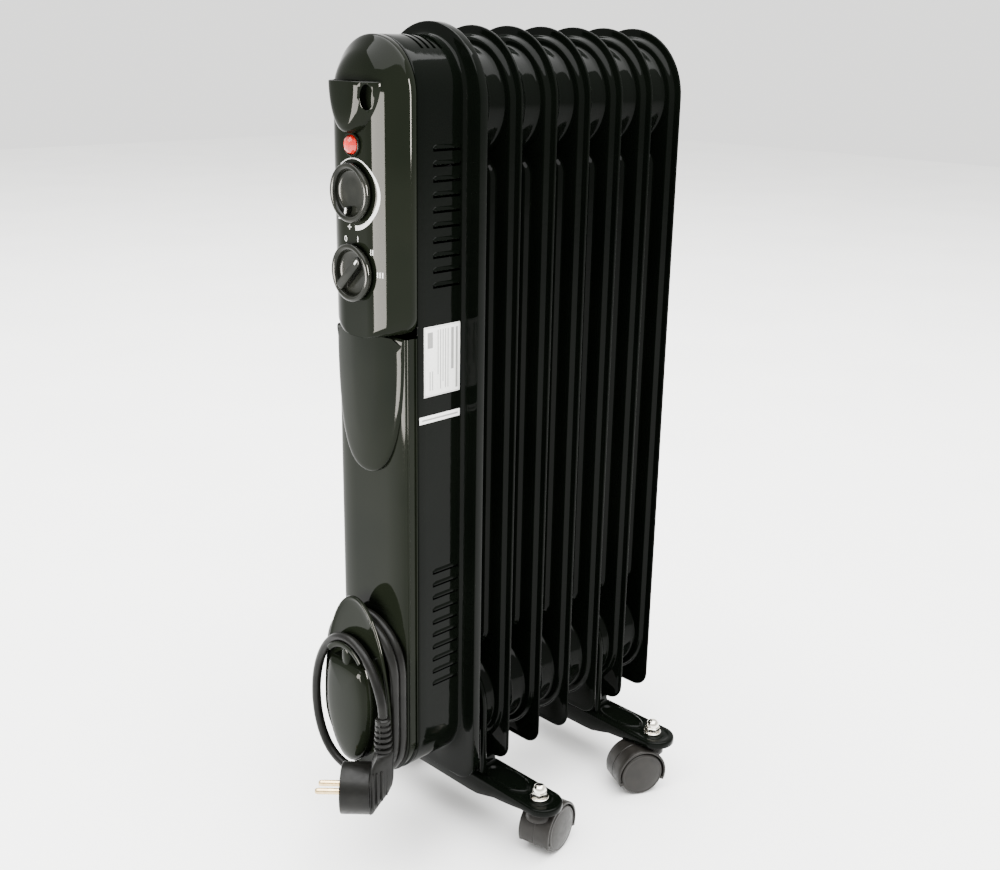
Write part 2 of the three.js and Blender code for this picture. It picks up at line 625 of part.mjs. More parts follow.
function casterWheel(side) {
  const inner = CASTER_WEB + GAP;
  const outer = inner + WHEEL_WIDTH;
  const span = (from, to) => (side < 0 ? [-to, -from] : [from, to]);
  return cut(
    rodY(WHEEL_RADIUS / Math.cos(Math.PI / WHEEL_SIDES), ...span(inner, outer),
      CASTER_TRAIL, WHEEL_RADIUS, WHEEL_SIDES),
    rodY(3.4, ...span(inner - 1, outer - 1), CASTER_TRAIL, WHEEL_RADIUS, 10),
  );
}

CASTER_TURNS.forEach((turn, index) => {
  const group = new THREE.Group();
  const side = index < 2 ? -1 : 1;
  group.position.set(FOOT_SECTIONS[index % 2] * PITCH, side * CASTER_Y, 0);
  group.rotation.z = THREE.MathUtils.degToRad(turn);
  heater.add(group);
  const number = index + 1;
  add(`caster_stem_${number}`, casterStem(), finishes.nickel, group);
  add(`caster_hood_${number}`, casterHood(), finishes.caster, group);
  add(`caster_wheel_${number}a`, casterWheel(-1), finishes.caster, group);
  add(`caster_wheel_${number}b`, casterWheel(1), finishes.caster, group);
});

export default heater;
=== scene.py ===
"""Looks for the oil filled radiator heater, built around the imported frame."""
import json
import math

import bmesh
import bpy
from mathutils import Matrix, Vector
from mathutils.bvhtree import BVHTree

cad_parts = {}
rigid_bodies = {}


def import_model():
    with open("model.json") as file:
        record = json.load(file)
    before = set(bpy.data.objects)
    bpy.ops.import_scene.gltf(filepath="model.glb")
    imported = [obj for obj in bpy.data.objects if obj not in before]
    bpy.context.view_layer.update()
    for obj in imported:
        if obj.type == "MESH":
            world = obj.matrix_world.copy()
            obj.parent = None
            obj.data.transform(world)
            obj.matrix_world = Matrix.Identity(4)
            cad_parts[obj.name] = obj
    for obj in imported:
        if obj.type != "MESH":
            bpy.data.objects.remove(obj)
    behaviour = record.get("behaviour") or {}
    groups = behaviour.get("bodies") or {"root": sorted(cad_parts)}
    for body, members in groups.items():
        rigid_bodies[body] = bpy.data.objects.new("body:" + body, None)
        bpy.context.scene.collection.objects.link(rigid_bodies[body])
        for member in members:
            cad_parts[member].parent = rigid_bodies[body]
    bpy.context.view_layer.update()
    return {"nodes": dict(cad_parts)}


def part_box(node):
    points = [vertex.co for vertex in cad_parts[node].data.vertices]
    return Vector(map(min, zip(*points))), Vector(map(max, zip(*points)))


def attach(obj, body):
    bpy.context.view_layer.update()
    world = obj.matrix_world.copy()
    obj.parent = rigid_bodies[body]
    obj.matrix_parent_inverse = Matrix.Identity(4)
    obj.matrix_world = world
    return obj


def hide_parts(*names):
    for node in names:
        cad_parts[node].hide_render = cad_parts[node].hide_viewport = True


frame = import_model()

MM = 0.001
QUARTER, HALF_TURN, FULL_TURN = math.pi / 2, math.pi, 2 * math.pi
X, Y, Z = range(3)


# ---- the heater's own frame: millimetres, X from the first fin, Z from the floor ----------
def extent(node, axis):
    """The two ends of a CAD node's box along an axis, in millimetres of the row frame."""
    low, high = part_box(node)
    return low[axis] / MM, high[axis] / MM


def middle(node, axis):
    return sum(extent(node, axis)) / 2


SECTIONS = 7
PITCH = (middle("fin_6", X) - middle("fin_2", X)) / 4
FIRST_FIN = middle("fin_2", X) - PITCH
FIN_LOW, FIN_HIGH = extent("fin_1", Z)
FIN_HALF = extent("fin_1", Y)[1]
HOUSING_LOW, HOUSING_HALF = 74.0, extent("control_cover", Y)[1]
COVER_LOW, HOUSING_HIGH = extent("control_cover", Z)
COVER_CREST = -73.0
FACE_CREST = extent("front_panel", X)[0] - FIRST_FIN


def row_point(x, y, z):
    """A point of the heater's own frame, in the row frame in metres."""
    return Vector(((x + FIRST_FIN) * MM, y * MM, z * MM))


def smooth(t):
    """Eases from 0 to 1 while t goes from 0 to 1."""
    t = min(max(t, 0.0), 1.0)
    return t * t * (3 - 2 * t)


def round_steps(start, end, steps):
    """(cosine, sine) at even steps from one angle to another, both included."""
    angles = [start + (end - start) * i / steps for i in range(steps + 1)]
    return [(math.cos(a), math.sin(a)) for a in angles]


def circle(steps):
    return round_steps(0, FULL_TURN, steps)[:-1]


def new_object(name, data):
    obj = bpy.data.objects.new(name, data)
    bpy.context.scene.collection.objects.link(obj)
    return obj


def mesh_object(name, bm):
    """Makes an object of a bmesh, which it frees."""
    mesh = bpy.data.meshes.new(name)
    bm.to_mesh(mesh)
    bm.free()
    return new_object(name, mesh)


# ---- camera -------------------------------------------------------------------------------
CAMERA_PLACE = (-0.6727, -0.6781, 0.6342)
CAMERA_ANGLES = (-45.015, 17.889, 1.044)   # azimuth, elevation and roll, in degrees
CAMERA_LENS, CAMERA_SENSOR = 44.75, 36


def make_camera():
    azimuth, elevation, roll = map(math.radians, CAMERA_ANGLES)
    back = Vector((math.sin(azimuth) * math.cos(elevation),
                   -math.cos(azimuth) * math.cos(elevation), math.sin(elevation)))
    level = Vector((math.cos(azimuth), math.sin(azimuth), 0))
    upright = back.cross(level)
    right = level * math.cos(roll) + upright * math.sin(roll)
    up = upright * math.cos(roll) - level * math.sin(roll)
    data = bpy.data.cameras.new("camera")
    data.sensor_width = CAMERA_SENSOR
    data.lens = CAMERA_LENS
    camera = new_object("camera", data)
    turn = Matrix((right, up, back)).transposed().to_4x4()
    camera.matrix_world = Matrix.Translation(CAMERA_PLACE) @ turn
    bpy.context.scene.camera = camera


make_camera()


# ---- materials ----------------------------------------------------------------------------
class Recipe:
    """A procedural material: noise-driven colour, roughness and bump on a Principled shader.

    A grain is a noise's scale, in features per metre, and its detail. Bumps are in metres."""

    def __init__(self, name, color, roughness, metallic=0.0, **sockets):
        self.material = bpy.data.materials.new(name)
        self.material.use_nodes = True
        self.nodes = self.material.node_tree.nodes
        self.links = self.material.node_tree.links
        self.shader = self.nodes["Principled BSDF"]
        sockets.update(Base_Color=(*color, 1), Roughness=roughness, Metallic=metallic)
        for socket, value in sockets.items():
            self.shader.inputs[socket.replace("_", " ")].default_value = value
        self.place = self.nodes.new("ShaderNodeTexCoord").outputs["Object"]
        self.height = None

    def node(self, kind, socket, source, **values):
        """Adds a node that is fed by source at one socket and has values at others."""
        node = self.nodes.new("ShaderNode" + kind)
        for name, value in values.items():
            node.inputs[name.replace("_", " ")].default_value = value
        self.links.new(source, node.inputs[socket])
        return node

    def noise(self, scale, detail=2.0):
        node = self.node("TexNoise", "Vector", self.place, Scale=scale, Detail=detail)
        return node.outputs["Fac"]

    def colors(self, dark, light, *grain):
        ramp = self.node("ValToRGB", "Fac", self.noise(*grain))
        first, last = ramp.color_ramp.elements
        first.position, last.position = 0.35, 0.65
        first.color, last.color = (*dark, 1), (*light, 1)
        self.links.new(ramp.outputs["Color"], self.shader.inputs["Base Color"])

    def roughness(self, low, high, *grain):
        node = self.node("MapRange", "Value", self.noise(*grain),
                         From_Min=0.3, From_Max=0.7, To_Min=low, To_Max=high)
        self.links.new(node.outputs["Result"], self.shader.inputs["Roughness"])

    def bump(self, distance, strength, *grain):
        node = self.node("Bump", "Height", self.noise(*grain),
                         Strength=strength, Distance=distance)
        if self.height:
            self.links.new(self.height, node.inputs["Normal"])
        self.height = node.outputs["Normal"]
        self.links.new(self.height, self.shader.inputs["Normal"])


def enamel():
    r = Recipe("enamel", (0.001, 0.0018, 0.0011), 0.08, Specular_IOR_Level=0.04)
    r.colors((0.0009, 0.0014, 0.0009), (0.0016, 0.0022, 0.0015), 9)
    r.roughness(0.05, 0.11, 40)
    r.bump(0.00012, 0.35, 210, 1.0)
    r.bump(0.0009, 0.25, 24, 1.0)
    return r.material


def gloss():
    r = Recipe("gloss_moulding", (0.001, 0.002, 0.0012), 0.07, Specular_IOR_Level=0.04)
    r.colors((0.0007, 0.0010, 0.0006), (0.0011, 0.0014, 0.0009), 12)
    r.roughness(0.04, 0.09, 60)
    r.bump(0.0012, 0.22, 15, 1.0)
    return r.material


def knob_plastic():
    r = Recipe("knob_moulding", (0.004, 0.004, 0.0038), 0.16, Specular_IOR_Level=0.1)
    r.colors((0.0012, 0.0014, 0.0011), (0.0024, 0.0026, 0.0022), 70)
    r.roughness(0.11, 0.2, 150)
    r.bump(0.00003, 0.4, 900)
    return r.material


def caster_plastic():
    r = Recipe("caster_nylon", (0.014, 0.013, 0.012), 0.36, Specular_IOR_Level=0.2)
    r.colors((0.0078, 0.0070, 0.0060), (0.0120, 0.0108, 0.0092), 120, 3.0)
    r.roughness(0.30, 0.44, 300)
    r.bump(0.00005, 0.5, 1500, 3.0)
    return r.material


def vinyl():
    r = Recipe("cord_vinyl", (0.009, 0.009, 0.008), 0.38, Specular_IOR_Level=0.12)
    r.colors((0.0026, 0.0026, 0.0022), (0.0046, 0.0046, 0.0039), 90)
    r.roughness(0.30, 0.44, 260)
    r.bump(0.00006, 0.5, 700)
    return r.material


def metal(name, color, dark, low, high):
    r = Recipe(name, color, low, metallic=1.0)
    r.colors(dark, color, 160, 3.0)
    r.roughness(low, high, 320)
    r.bump(0.00002, 0.4, 900)
    return r.material


def ivory():
    r = Recipe("ivory_moulding", (0.6, 0.57, 0.5), 0.5)
    r.colors((0.55, 0.52, 0.45), (0.64, 0.61, 0.55), 80)
    r.roughness(0.42, 0.6, 200)
    r.bump(0.00004, 0.4, 900)
    return r.material


def ink(name, color):
    r = Recipe(name, color, 0.45)
    r.colors(tuple(c * 0.92 for c in color), color, 400, 3.0)
    r.roughness(0.38, 0.55, 500)
    r.bump(0.00001, 0.3, 1200)
    return r.material


def lamp_red():
    r = Recipe("lamp_red", (0.62, 0.012, 0.01), 0.08, Transmission_Weight=0.25,
               Emission_Color=(0.8, 0.02, 0.01, 1), Emission_Strength=0.12)
    r.colors((0.5, 0.006, 0.006), (0.75, 0.02, 0.014), 150)
    r.roughness(0.05, 0.12, 300)
    r.bump(0.00002, 0.3, 600)
    return r.material


FINISHES = {
    "enamel": enamel(), "gloss_plastic": gloss(), "knob_plastic": knob_plastic(),
    "caster_plastic": caster_plastic(), "cord_vinyl": vinyl(), "lamp_red": lamp_red(),
    "moulding": ivory(),
    "nickel": metal("nickel", (0.80, 0.77, 0.70), (0.62, 0.58, 0.50), 0.10, 0.22),
    "pin_brass": metal("pin_brass", (0.72, 0.55, 0.30), (0.55, 0.40, 0.20), 0.2, 0.34),
    "zinc_steel": metal("zinc_steel", (0.60, 0.61, 0.62), (0.42, 0.43, 0.44), 0.28, 0.45),
}
WHITE_INK = ink("white_ink", (0.82, 0.82, 0.79))
GREY_INK = ink("grey_ink", (0.24, 0.24, 0.23))


# ---- mesh building ------------------------------------------------------------------------
UNMOVED = Matrix.Identity(4)
BEVEL_ANGLE = math.radians(38)


class Form:
    """Collects vertices and faces in millimetres, then becomes one piece."""

    def __init__(self):
        self.points = []
        self.faces = []

    def add(self, points, faces):
        start = len(self.points)
        self.points.extend(tuple(p) for p in points)
        self.faces.extend(tuple(start + i for i in face) for face in faces)

    def rings(self, rings, closed=True, start_cap=False, end_cap=False, skip=None):
        """Skins a list of rings of equal length, but for the cells that skip says to leave."""
        count = len(rings[0])
        total = count * len(rings)
        faces = []
        for level in range(len(rings) - 1):
            for i in range(count if closed else count - 1):
                if not (skip and skip(level, i)):
                    a, b = level * count + i, level * count + (i + 1) % count
                    faces.append((a, b, b + count, a + count))
        if start_cap:
            faces.append(tuple(reversed(range(count))))
        if end_cap:
            faces.append(tuple(range(total - count, total)))
        self.add([p for ring in rings for p in ring], faces)

    def lathe(self, profile, steps=48, place=UNMOVED):
        """Turns a list of (radius, height) points about Z, then moves them by place."""
        rings = [[place @ Vector((radius * c, radius * s, height)) for c, s in circle(steps)]
                 for radius, height in profile]
        self.rings(rings, True, profile[0][0] > 0, profile[-1][0] > 0)

    def block(self, low, high, place=UNMOVED):
        corners = [place @ Vector((x, y, z)) for x in (low[0], high[0])
                   for y in (low[1], high[1]) for z in (low[2], high[2])]
        self.add(corners, [(0, 1, 3, 2), (4, 6, 7, 5), (0, 4, 5, 1), (2, 3, 7, 6),
                           (0, 2, 6, 4), (1, 5, 7, 3)])

    def piece(self, name, finish, *replaces, body="heater", sharp=32, local=UNMOVED, bevel=0.0,
              merge=0.004):
        """Makes the object. local places the points in the heater's frame, in millimetres."""
        bm = bmesh.new()
        verts = [bm.verts.new(row_point(*(local @ Vector(p)))) for p in self.points]
        for face in self.faces:
            corners = dict.fromkeys(face)
            if len(corners) > 2:
                bm.faces.new([verts[i] for i in corners])
        bmesh.ops.remove_doubles(bm, verts=bm.verts, dist=merge * MM)
        bmesh.ops.dissolve_degenerate(bm, edges=bm.edges, dist=merge * MM * 0.5)
        bmesh.ops.recalc_face_normals(bm, faces=bm.faces)
        for face in bm.faces:
            face.smooth = True
        for edge in bm.edges:
            if len(edge.link_faces) == 2:
                edge.smooth = edge.calc_face_angle(0) < math.radians(sharp)
        obj = mesh_object(name, bm)
        if bevel:
            modifier = obj.modifiers.new("edges", "BEVEL")
            modifier.width = bevel * MM
            modifier.segments = 2
            modifier.limit_method = "ANGLE"
            modifier.angle_limit = BEVEL_ANGLE
        return dress(obj, finish, *replaces, body=body)


def dress(obj, finish, *replaces, body="heater"):
    """Gives a new piece its material, its body and the CAD nodes it stands for."""
    obj.data.materials.append(FINISHES.get(finish, finish))
    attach(obj, body)
    if replaces:
        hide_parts(*replaces)
    return obj


ALONG_X = Matrix(((0, 0, 1), (1, 0, 0), (0, 1, 0))).to_4x4()   # lathe axis Z becomes +X


def on_x(x, y, z, backwards=False):
    """A lathe frame whose axis runs along +X (or -X) from the point."""
    turn = Matrix.Scale(-1, 4, (1, 0, 0)) if backwards else UNMOVED
    return Matrix.Translation((x, y, z)) @ turn @ ALONG_X


def half_outline(half, low, high, low_radius, sides):
    """(y, z) points of the +Y half of an upright outline, from the bottom middle to the top.

    The top is a half circle; the bottom has round corners, joined by a flat when they are
    smaller than the half width. All outlines with the same sides have the same count."""
    flat, bottom, top = half - low_radius, low + low_radius, high - half
    points = [(flat * i / 4, low) for i in range(4)]
    points += [(flat + low_radius * s, bottom - low_radius * c)
               for c, s in round_steps(0, QUARTER, 12)]
    points += [(half, bottom + (top - bottom) * share) for share in sides]
    return points + [(half * c, top + half * s) for c, s in round_steps(0, QUARTER, 16)]


def panel_outline(half, low, high, radius):
    """(y, z) points of the +Y half of an upright panel with four round corners."""
    flat, bottom, top = half - radius, low + radius, high - radius
    bend = round_steps(0, QUARTER, 10)
    points = [(flat * i / 3, low) for i in range(3)]
    points += [(flat + radius * s, bottom - radius * c) for c, s in bend]
    points += [(half, bottom + (top - bottom) * i / 10) for i in range(1, 10)]
    points += [(flat + radius * c, top + radius * s) for c, s in bend]
    return points + [(flat * i / 3, high) for i in (2, 1, 0)]


def full_ring(half_points, x):
    """The whole outline at depth x, as (x, y, z): +Y half upwards, then -Y half downwards."""
    right = [(x, y, z) for y, z in half_points]
    left = [(x, -y, z) for y, z in reversed(half_points)]
    return right + left[1:-1]


def mirrored_cap(form, half_points, x):
    """Closes a ring with faces from the +Y side straight across to the -Y side."""
    count = len(half_points)
    points = [(x, y, z) for y, z in half_points] + [(x, -y, z) for y, z in half_points]
    form.add(points, [(i, i + 1, count + i + 1, count + i) for i in range(count - 1)])



def even_shares(steps):
    """The shares between 0 and 1, both left out, that cut a side into equal steps."""
    return [i / steps for i in range(1, steps)]


# ---- cord ---------------------------------------------------------------------------------
CORD_DIAMETER = 7.2
WINDER_MIDDLE, WINDER_STRAIGHT = 145.5, 27.5
STRAIGHT_SHARE = 0.155   # of a whole turn, for each straight side of the winding
INNER_TURN, OUTER_TURN = 31.1, 38.4
BACK_LAYER, FRONT_LAYER = -66.4, -73.6
FIRST_TURN, LAST_TURN, STEPS_PER_TURN = 0.175, 2.8, 40
GLAND_TOP, RELIEF_TOP = (-69.4, 22.8, 142.0), (-88.0, -42.0, 148.0)
GLAND_LEAD = [GLAND_TOP, (-69.0, 25.3, 150), (-68.0, 27.9, 158.5), (-66.9, 30.3, 168)]
FREE_ROUTE = [
    (-80.0, -4, 79.6), (-81.9, 6, 79.3), (-84.2, 17, 82.2), (-85.8, 28, 89.6),
    (-86.8, 36.6, 103), (-87.4, 41, 121), (-87.6, 41.5, 141), (-87.4, 38, 161),
    (-87, 28.8, 181), (-86.6, 15.8, 193.2), (-86.5, 0, 197.6), (-86.6, -15.8, 193.2),
    (-87, -28.8, 181), (-87.6, -38, 165.5), (-88, -41.5, 155.5), RELIEF_TOP]


def turn_point(turns, radius, x):
    """A point on the winding's long loop; whole turns start at the bottom of its +Y side."""
    side = 1 if turns % 1 < 0.5 else -1
    share = turns % 0.5
    if share < STRAIGHT_SHARE:
        y, z = radius, -WINDER_STRAIGHT + 2 * WINDER_STRAIGHT * share / STRAIGHT_SHARE
    else:
        angle = HALF_TURN * (share - STRAIGHT_SHARE) / (0.5 - STRAIGHT_SHARE)
        y, z = radius * math.cos(angle), WINDER_STRAIGHT + radius * math.sin(angle)
    return (x, side * y, WINDER_MIDDLE + side * z)


def wound_points():
    """The turns on the hub: an inner one, outer ones, then forward to the free stretch."""
    points = []
    for i in range(round(FIRST_TURN * STEPS_PER_TURN), round(LAST_TURN * STEPS_PER_TURN) + 1):
        turns = i / STEPS_PER_TURN
        radius = INNER_TURN + (OUTER_TURN - INNER_TURN) * smooth((turns - 1.0) / 0.16)
        x = BACK_LAYER + (FRONT_LAYER - BACK_LAYER) * smooth((turns - 1.66) / 0.34)
        x -= 8 * smooth((turns - 2.62) / 0.32)
        points.append(turn_point(turns, radius, x))
    return points


def smooth_line(points, between):
    """The points joined by one smooth curve, sampled evenly between each pair."""
    spots = [Vector(p) for p in points]
    spots = [2 * spots[0] - spots[1]] + spots + [2 * spots[-1] - spots[-2]]
    line = []
    for a, b, c, d in zip(spots, spots[1:], spots[2:], spots[3:]):
        for step in range(between):
            t = step / between
            line.append(0.5 * ((2 * b) + (c - a) * t + (2 * a - 5 * b + 4 * c - d) * t * t
                               + (3 * b - a - 3 * c + d) * t ** 3))
    return line + [spots[-2]]


def relax(line, rounds):
    """Takes the small kinks out of a line, leaving its two ends alone."""
    for _ in range(rounds):
        inner = [(a + 2 * b + c) / 4 for a, b, c in zip(line, line[1:], line[2:])]
        line = [line[0], *inner, line[-1]]
    return line


def make_cord():
    line = relax(smooth_line(GLAND_LEAD + wound_points() + FREE_ROUTE, 4), 10)
    curve = bpy.data.curves.new("mains_cord", "CURVE")
    curve.dimensions = "3D"
    curve.bevel_depth = CORD_DIAMETER / 2 * MM
    curve.bevel_resolution = 6
    spline = curve.splines.new("POLY")
    spline.points.add(len(line) - 1)
    for target, spot in zip(spline.points, line):
        target.co = (*row_point(*spot), 1)
    cord = dress(new_object("mains_cord", curve), "cord_vinyl", "cord_winding", "cord_lead")


def make_gland():
    """The tapered strain relief that leads the cord out of the winder's hub."""
    form = Form()
    tilt = Matrix.Translation((-69.4, 18.4, 127.7)) @ Matrix.Rotation(-0.3, 4, "X")
    profile = [(0, -15)]
    for i in range(9):
        low = -15 + 3.4 * i
        radius = 5.6 - 1.5 * i / 8
        profile += [(radius - 0.5, low), (radius, low + 0.5), (radius, low + 2.1),
                    (radius - 0.9, low + 2.5), (radius - 0.9, low + 3.2)]
    profile[-1] = (0, 15)
    form.lathe(profile, 28, tilt)
    form.block((-72.8, 9, 109), (-62.6, 19, 119))
    return form.piece("strain_relief", "cord_vinyl", "cord_gland", bevel=0.4)


PLUG_PLACE = Matrix.Translation((-110.6, -19.4, 87)) @ Matrix.Rotation(-math.pi / 4, 4, "Z")
PLUG_RADIUS = 19.5


def make_plug_disc():
    disc = Form()
    profile = [(0, 0.9), (11.5, 0.9), (12.2, 0.3), (17.6, 0.3), (18.6, 0.0), (19.2, 0.25),
               (PLUG_RADIUS, 0.9), (PLUG_RADIUS, 21.6), (19.1, 22.6), (18.2, 23.0), (0, 23.0)]
    disc.lathe(profile, 64, ALONG_X)
    return disc.piece("plug_disc", "cord_vinyl", "plug_body", local=PLUG_PLACE)


def make_plug_back():
    """The body behind the disc, which narrows and rises towards the neck."""
    def bulge(t):
        return math.copysign(abs(t) ** 0.45, t)

    back = Form()
    rings = []
    for x, half_y, low, high in ((22.4, 15.4, -17.8, 19.0), (24.5, 15.0, -17.0, 26.0),
                                 (28.0, 13.0, -12.2, 33.3), (32.0, 10.2, -6.6, 33.5),
                                 (36.0, 7.0, -1.4, 33.5), (38.6, 5.0, 4.5, 33.4),
                                 (39.3, 4.2, 8.0, 32.6)):
        middle_z, half_z = (low + high) / 2, (high - low) / 2
        rings.append([(x, half_y * bulge(c), middle_z + half_z * bulge(s))
                      for c, s in circle(24)])
    back.rings(rings, True, True, True)
    return back.piece("plug_back", "cord_vinyl", local=PLUG_PLACE, sharp=50)


def make_plug_ribs():
    ribs = Form()
    for side in (-1, 1):
        for i in range(4):
            x = 24.6 + 3.2 * i
            ends = sorted(side * (14.9 - 1.44 * i - 0.4725 * i * i + out) for out in (0, 1.4))
            ribs.block((x, ends[0], -9 + 2.6 * i), (x + 1.5, ends[1], 21))
    return ribs.piece("plug_grip_ribs", "cord_vinyl", local=PLUG_PLACE, bevel=0.4)


def make_plug_neck():
    neck = Form()
    profile = [(0, -0.5), (7.0, -0.5), (7.0, 1.6)]
    for i in range(5):
        low, outer = 2.6 + 4.6 * i, 7.0 - 0.28 * i
        profile += [(4.6, low), (4.6, low + 1.6), (outer, low + 1.9), (outer, low + 4.3)]
    profile += [(4.3, 26.4), (0, 26.5)]
    neck.lathe(profile, 32)
    for rail in (-1.4, 1.4):
        neck.block((-5.4, rail - 1.4, 0.5), (5.4, rail + 1.4, 26.2))
    return neck.piece("plug_neck", "cord_vinyl", "plug_relief", bevel=0.35,
                      local=Matrix.Translation((*RELIEF_TOP[:2], 121)))


def make_plug_pin(number, y, z):
    pin = Form()
    profile = [(0, -19), (1.5, -18.9), (2.15, -18.0), (2.4, -16.6), (2.4, -2), (2.4, 7), (0, 7)]
    pin.lathe(profile, 24, on_x(0, y, z))
    return pin.piece(f"plug_pin_brass_{number}", "pin_brass", f"plug_pin_{number}",
                     local=PLUG_PLACE)


gland = make_gland()
plug_pieces = [make_plug_disc(), make_plug_back(), make_plug_ribs(), make_plug_neck(),
               make_plug_pin(1, -9.15, 2.55), make_plug_pin(2, 9.15, -2.55)]
make_cord()


# ---- oil sections -------------------------------------------------------------------------
LOW_COLLAR, HIGH_COLLAR = FIN_LOW + 52, FIN_LOW + 527
CHANNEL_LOW, CHANNEL_HIGH = FIN_LOW + 133, FIN_LOW + 457
# each stop is an outline's inset or half width, then its depth from the middle of the section
ROLLED_EDGE = ((0, 0), (0.12, 0.45), (0.42, 0.78), (0.9, 0.93), (1.8, 0.9), (4.9, 0.9))
PRESSED_STEP = ((47.3, 0.93), (46.7, 1.2), (46.1, 2.0), (45.5, 3.0), (44.8, 3.9), (43.9, 4.38),
                (42.8, 4.5), (40, 4.5))
CHANNEL = ((33.4, 4.4), (32.4, 4.62), (31.5, 5.2), (30.8, 6.2), (30.1, 7.4), (29.2, 8.4),
           (28.0, 8.9), (26.6, 9.0), (24, 9.0))
# radius and depth
END_CAP = [(38.4, 4.3), (37.2, 4.8), (36.5, 5.7), (36, 7.2), (35.4, 8.4), (34.2, 9), (0, 9)]
COLLAR = [(41, 4.3), (39.8, 4.7), (39.1, 5.4), (38.5, 7), (37.9, 9.2), (37.2, 12), (36.5, 14.8),
          (36, 16.4), (36.1, 16.7), (36.6, 17.0), (36.7, 17.5), (36.4, 17.85), (0, 17.85)]


def edge_outline(inset):
    return half_outline(FIN_HALF - inset, FIN_LOW + inset, FIN_HIGH - inset, 15 - inset,
                        even_shares(12))


def step_outline(half):
    return half_outline(half, LOW_COLLAR - half, HIGH_COLLAR + half, half, even_shares(12))


def channel_outline(half):
    return panel_outline(half, CHANNEL_LOW - half, CHANNEL_HIGH + half, half - 17)


def make_section(index):
    """One pressed oil section: rolled edge, flange, stepped pressing, channel and collars."""
    form = Form()
    x = PITCH * index
    for side in (-1, 1):
        form.rings([full_ring(edge_outline(inset), x + side * depth)
                    for inset, depth in ROLLED_EDGE]
                   + [full_ring(step_outline(half), x + side * depth)
                      for half, depth in PRESSED_STEP])
        mirrored_cap(form, step_outline(40), x + side * 4.5)
        form.rings([full_ring(channel_outline(half), x + side * depth)
                    for half, depth in CHANNEL])
        mirrored_cap(form, channel_outline(24), x + side * 9)
        end = index == (0 if side < 0 else SECTIONS - 1)
        for z in (LOW_COLLAR, HIGH_COLLAR):
            form.lathe(END_CAP if end else COLLAR, 64, on_x(x, 0, z, side < 0))
    form.piece(f"oil_section_{index + 1}", "enamel", f"fin_{index + 1}", sharp=48)


for section_index in range(SECTIONS):
    make_section(section_index)


# ---- control housing ----------------------------------------------------------------------
LOUVRES, LOUVRE_STEP, LOUVRE_TOPS = 10, 10.4, (559.0, 248.0)
LOUVRE_LEFT, LOUVRE_RIGHT, LOUVRE_HALF = -36.0, -10.5, 1.2
SHELL_LOW, SHELL_HIGH = HOUSING_LOW + HOUSING_HALF, HOUSING_HIGH - HOUSING_HALF
louvre_rows = sorted(top - LOUVRE_STEP * row for top in LOUVRE_TOPS for row in range(LOUVRES))


def side_share(z):
    return (z - SHELL_LOW) / (SHELL_HIGH - SHELL_LOW)


def shell_sides():
    """The levels of the housing's side walls, with one along each edge of each louvre."""
    levels = [130, 145, 262, 300, 340, 380, 420, 450, 572, 583]
    for z in louvre_rows:
        levels += [z - LOUVRE_HALF, z + LOUVRE_HALF]
    return [side_share(z) for z in sorted(levels)]


CORNER_POINTS = 17   # of half_outline, below its sides and again above them
SLOTS, SLOT_STEP, SLOT_WIDTH = 4, 5.6, 2.6


def make_shell():
    """The hollow sheet-metal case, open at its louvres and top slots, with its flared rim."""
    sides = shell_sides()
    flare = [(-10, 0), (-8.6, 0.012), (-7.7, 0.05), (-7.0, 0.13), (-6.5, 0.26), (-6.2, 0.45),
             (-6.05, 0.68), (-6, 0.88), (-5.85, 0.965), (-5.4, 0.995), (-4.8, 1.0), (0.4, 1.0),
             (1.05, 0.985), (1.45, 0.95), (1.5, 0.90)]
    slots = [-34 + SLOT_STEP * i for i in range(SLOTS)]
    stops = [(-49.9, -0.09), (-49.7, -0.035), (-49.2, -0.008), (-48.4, 0), (-42, 0)]
    stops += [(x, 0) for x in sorted([LOUVRE_LEFT, LOUVRE_RIGHT] + slots
                                     + [x + SLOT_WIDTH for x in slots])]
    stops += flare
    rings = []
    for x, t in stops:
        outline = half_outline(HOUSING_HALF + 14.5 * t, HOUSING_LOW - 16 * t,
                               HOUSING_HIGH + 9 * t, HOUSING_HALF - 20.5 * max(t, 0), sides)
        rings.append(full_ring(outline, x))
    half_count = len(sides) + 2 * CORNER_POINTS
    places = [x for x, t in stops]
    slot_levels = [places.index(x) for x in slots]
    side_levels = range(places.index(LOUVRE_LEFT), places.index(LOUVRE_RIGHT))
    bottoms = set()
    for z in louvre_rows:
        point = CORNER_POINTS + sides.index(side_share(z - LOUVRE_HALF))
        bottoms |= {point, 2 * (half_count - 1) - point - 1}
    crown = range(half_count - 8, half_count + 6)
    form = Form()
    form.rings(rings, skip=lambda level, i: (level in side_levels and i in bottoms)
               or (level in slot_levels and i in crown))
    # inner walls of the louvres and of the slots
    for side in (-1, 1):
        for z in louvre_rows:
            low, high = z - LOUVRE_HALF, z + LOUVRE_HALF
            loop = [(LOUVRE_LEFT, low), (LOUVRE_RIGHT, low), (LOUVRE_RIGHT, high),
                    (LOUVRE_LEFT, high)]
            form.rings([[(x, side * y, at) for x, at in loop] for y in (HOUSING_HALF, 37.9)])
    for x in slots:
        for wall in (x, x + SLOT_WIDTH):
            form.rings([[(wall, radius * s, SHELL_HIGH + radius * c)
                         for c, s in round_steps(-7 * QUARTER / 16, 7 * QUARTER / 16, 14)]
                        for radius in (HOUSING_HALF, HOUSING_HALF - 1.8)], False)
    form.piece("housing_case", "enamel", "housing_shell", sharp=36, merge=0.01)


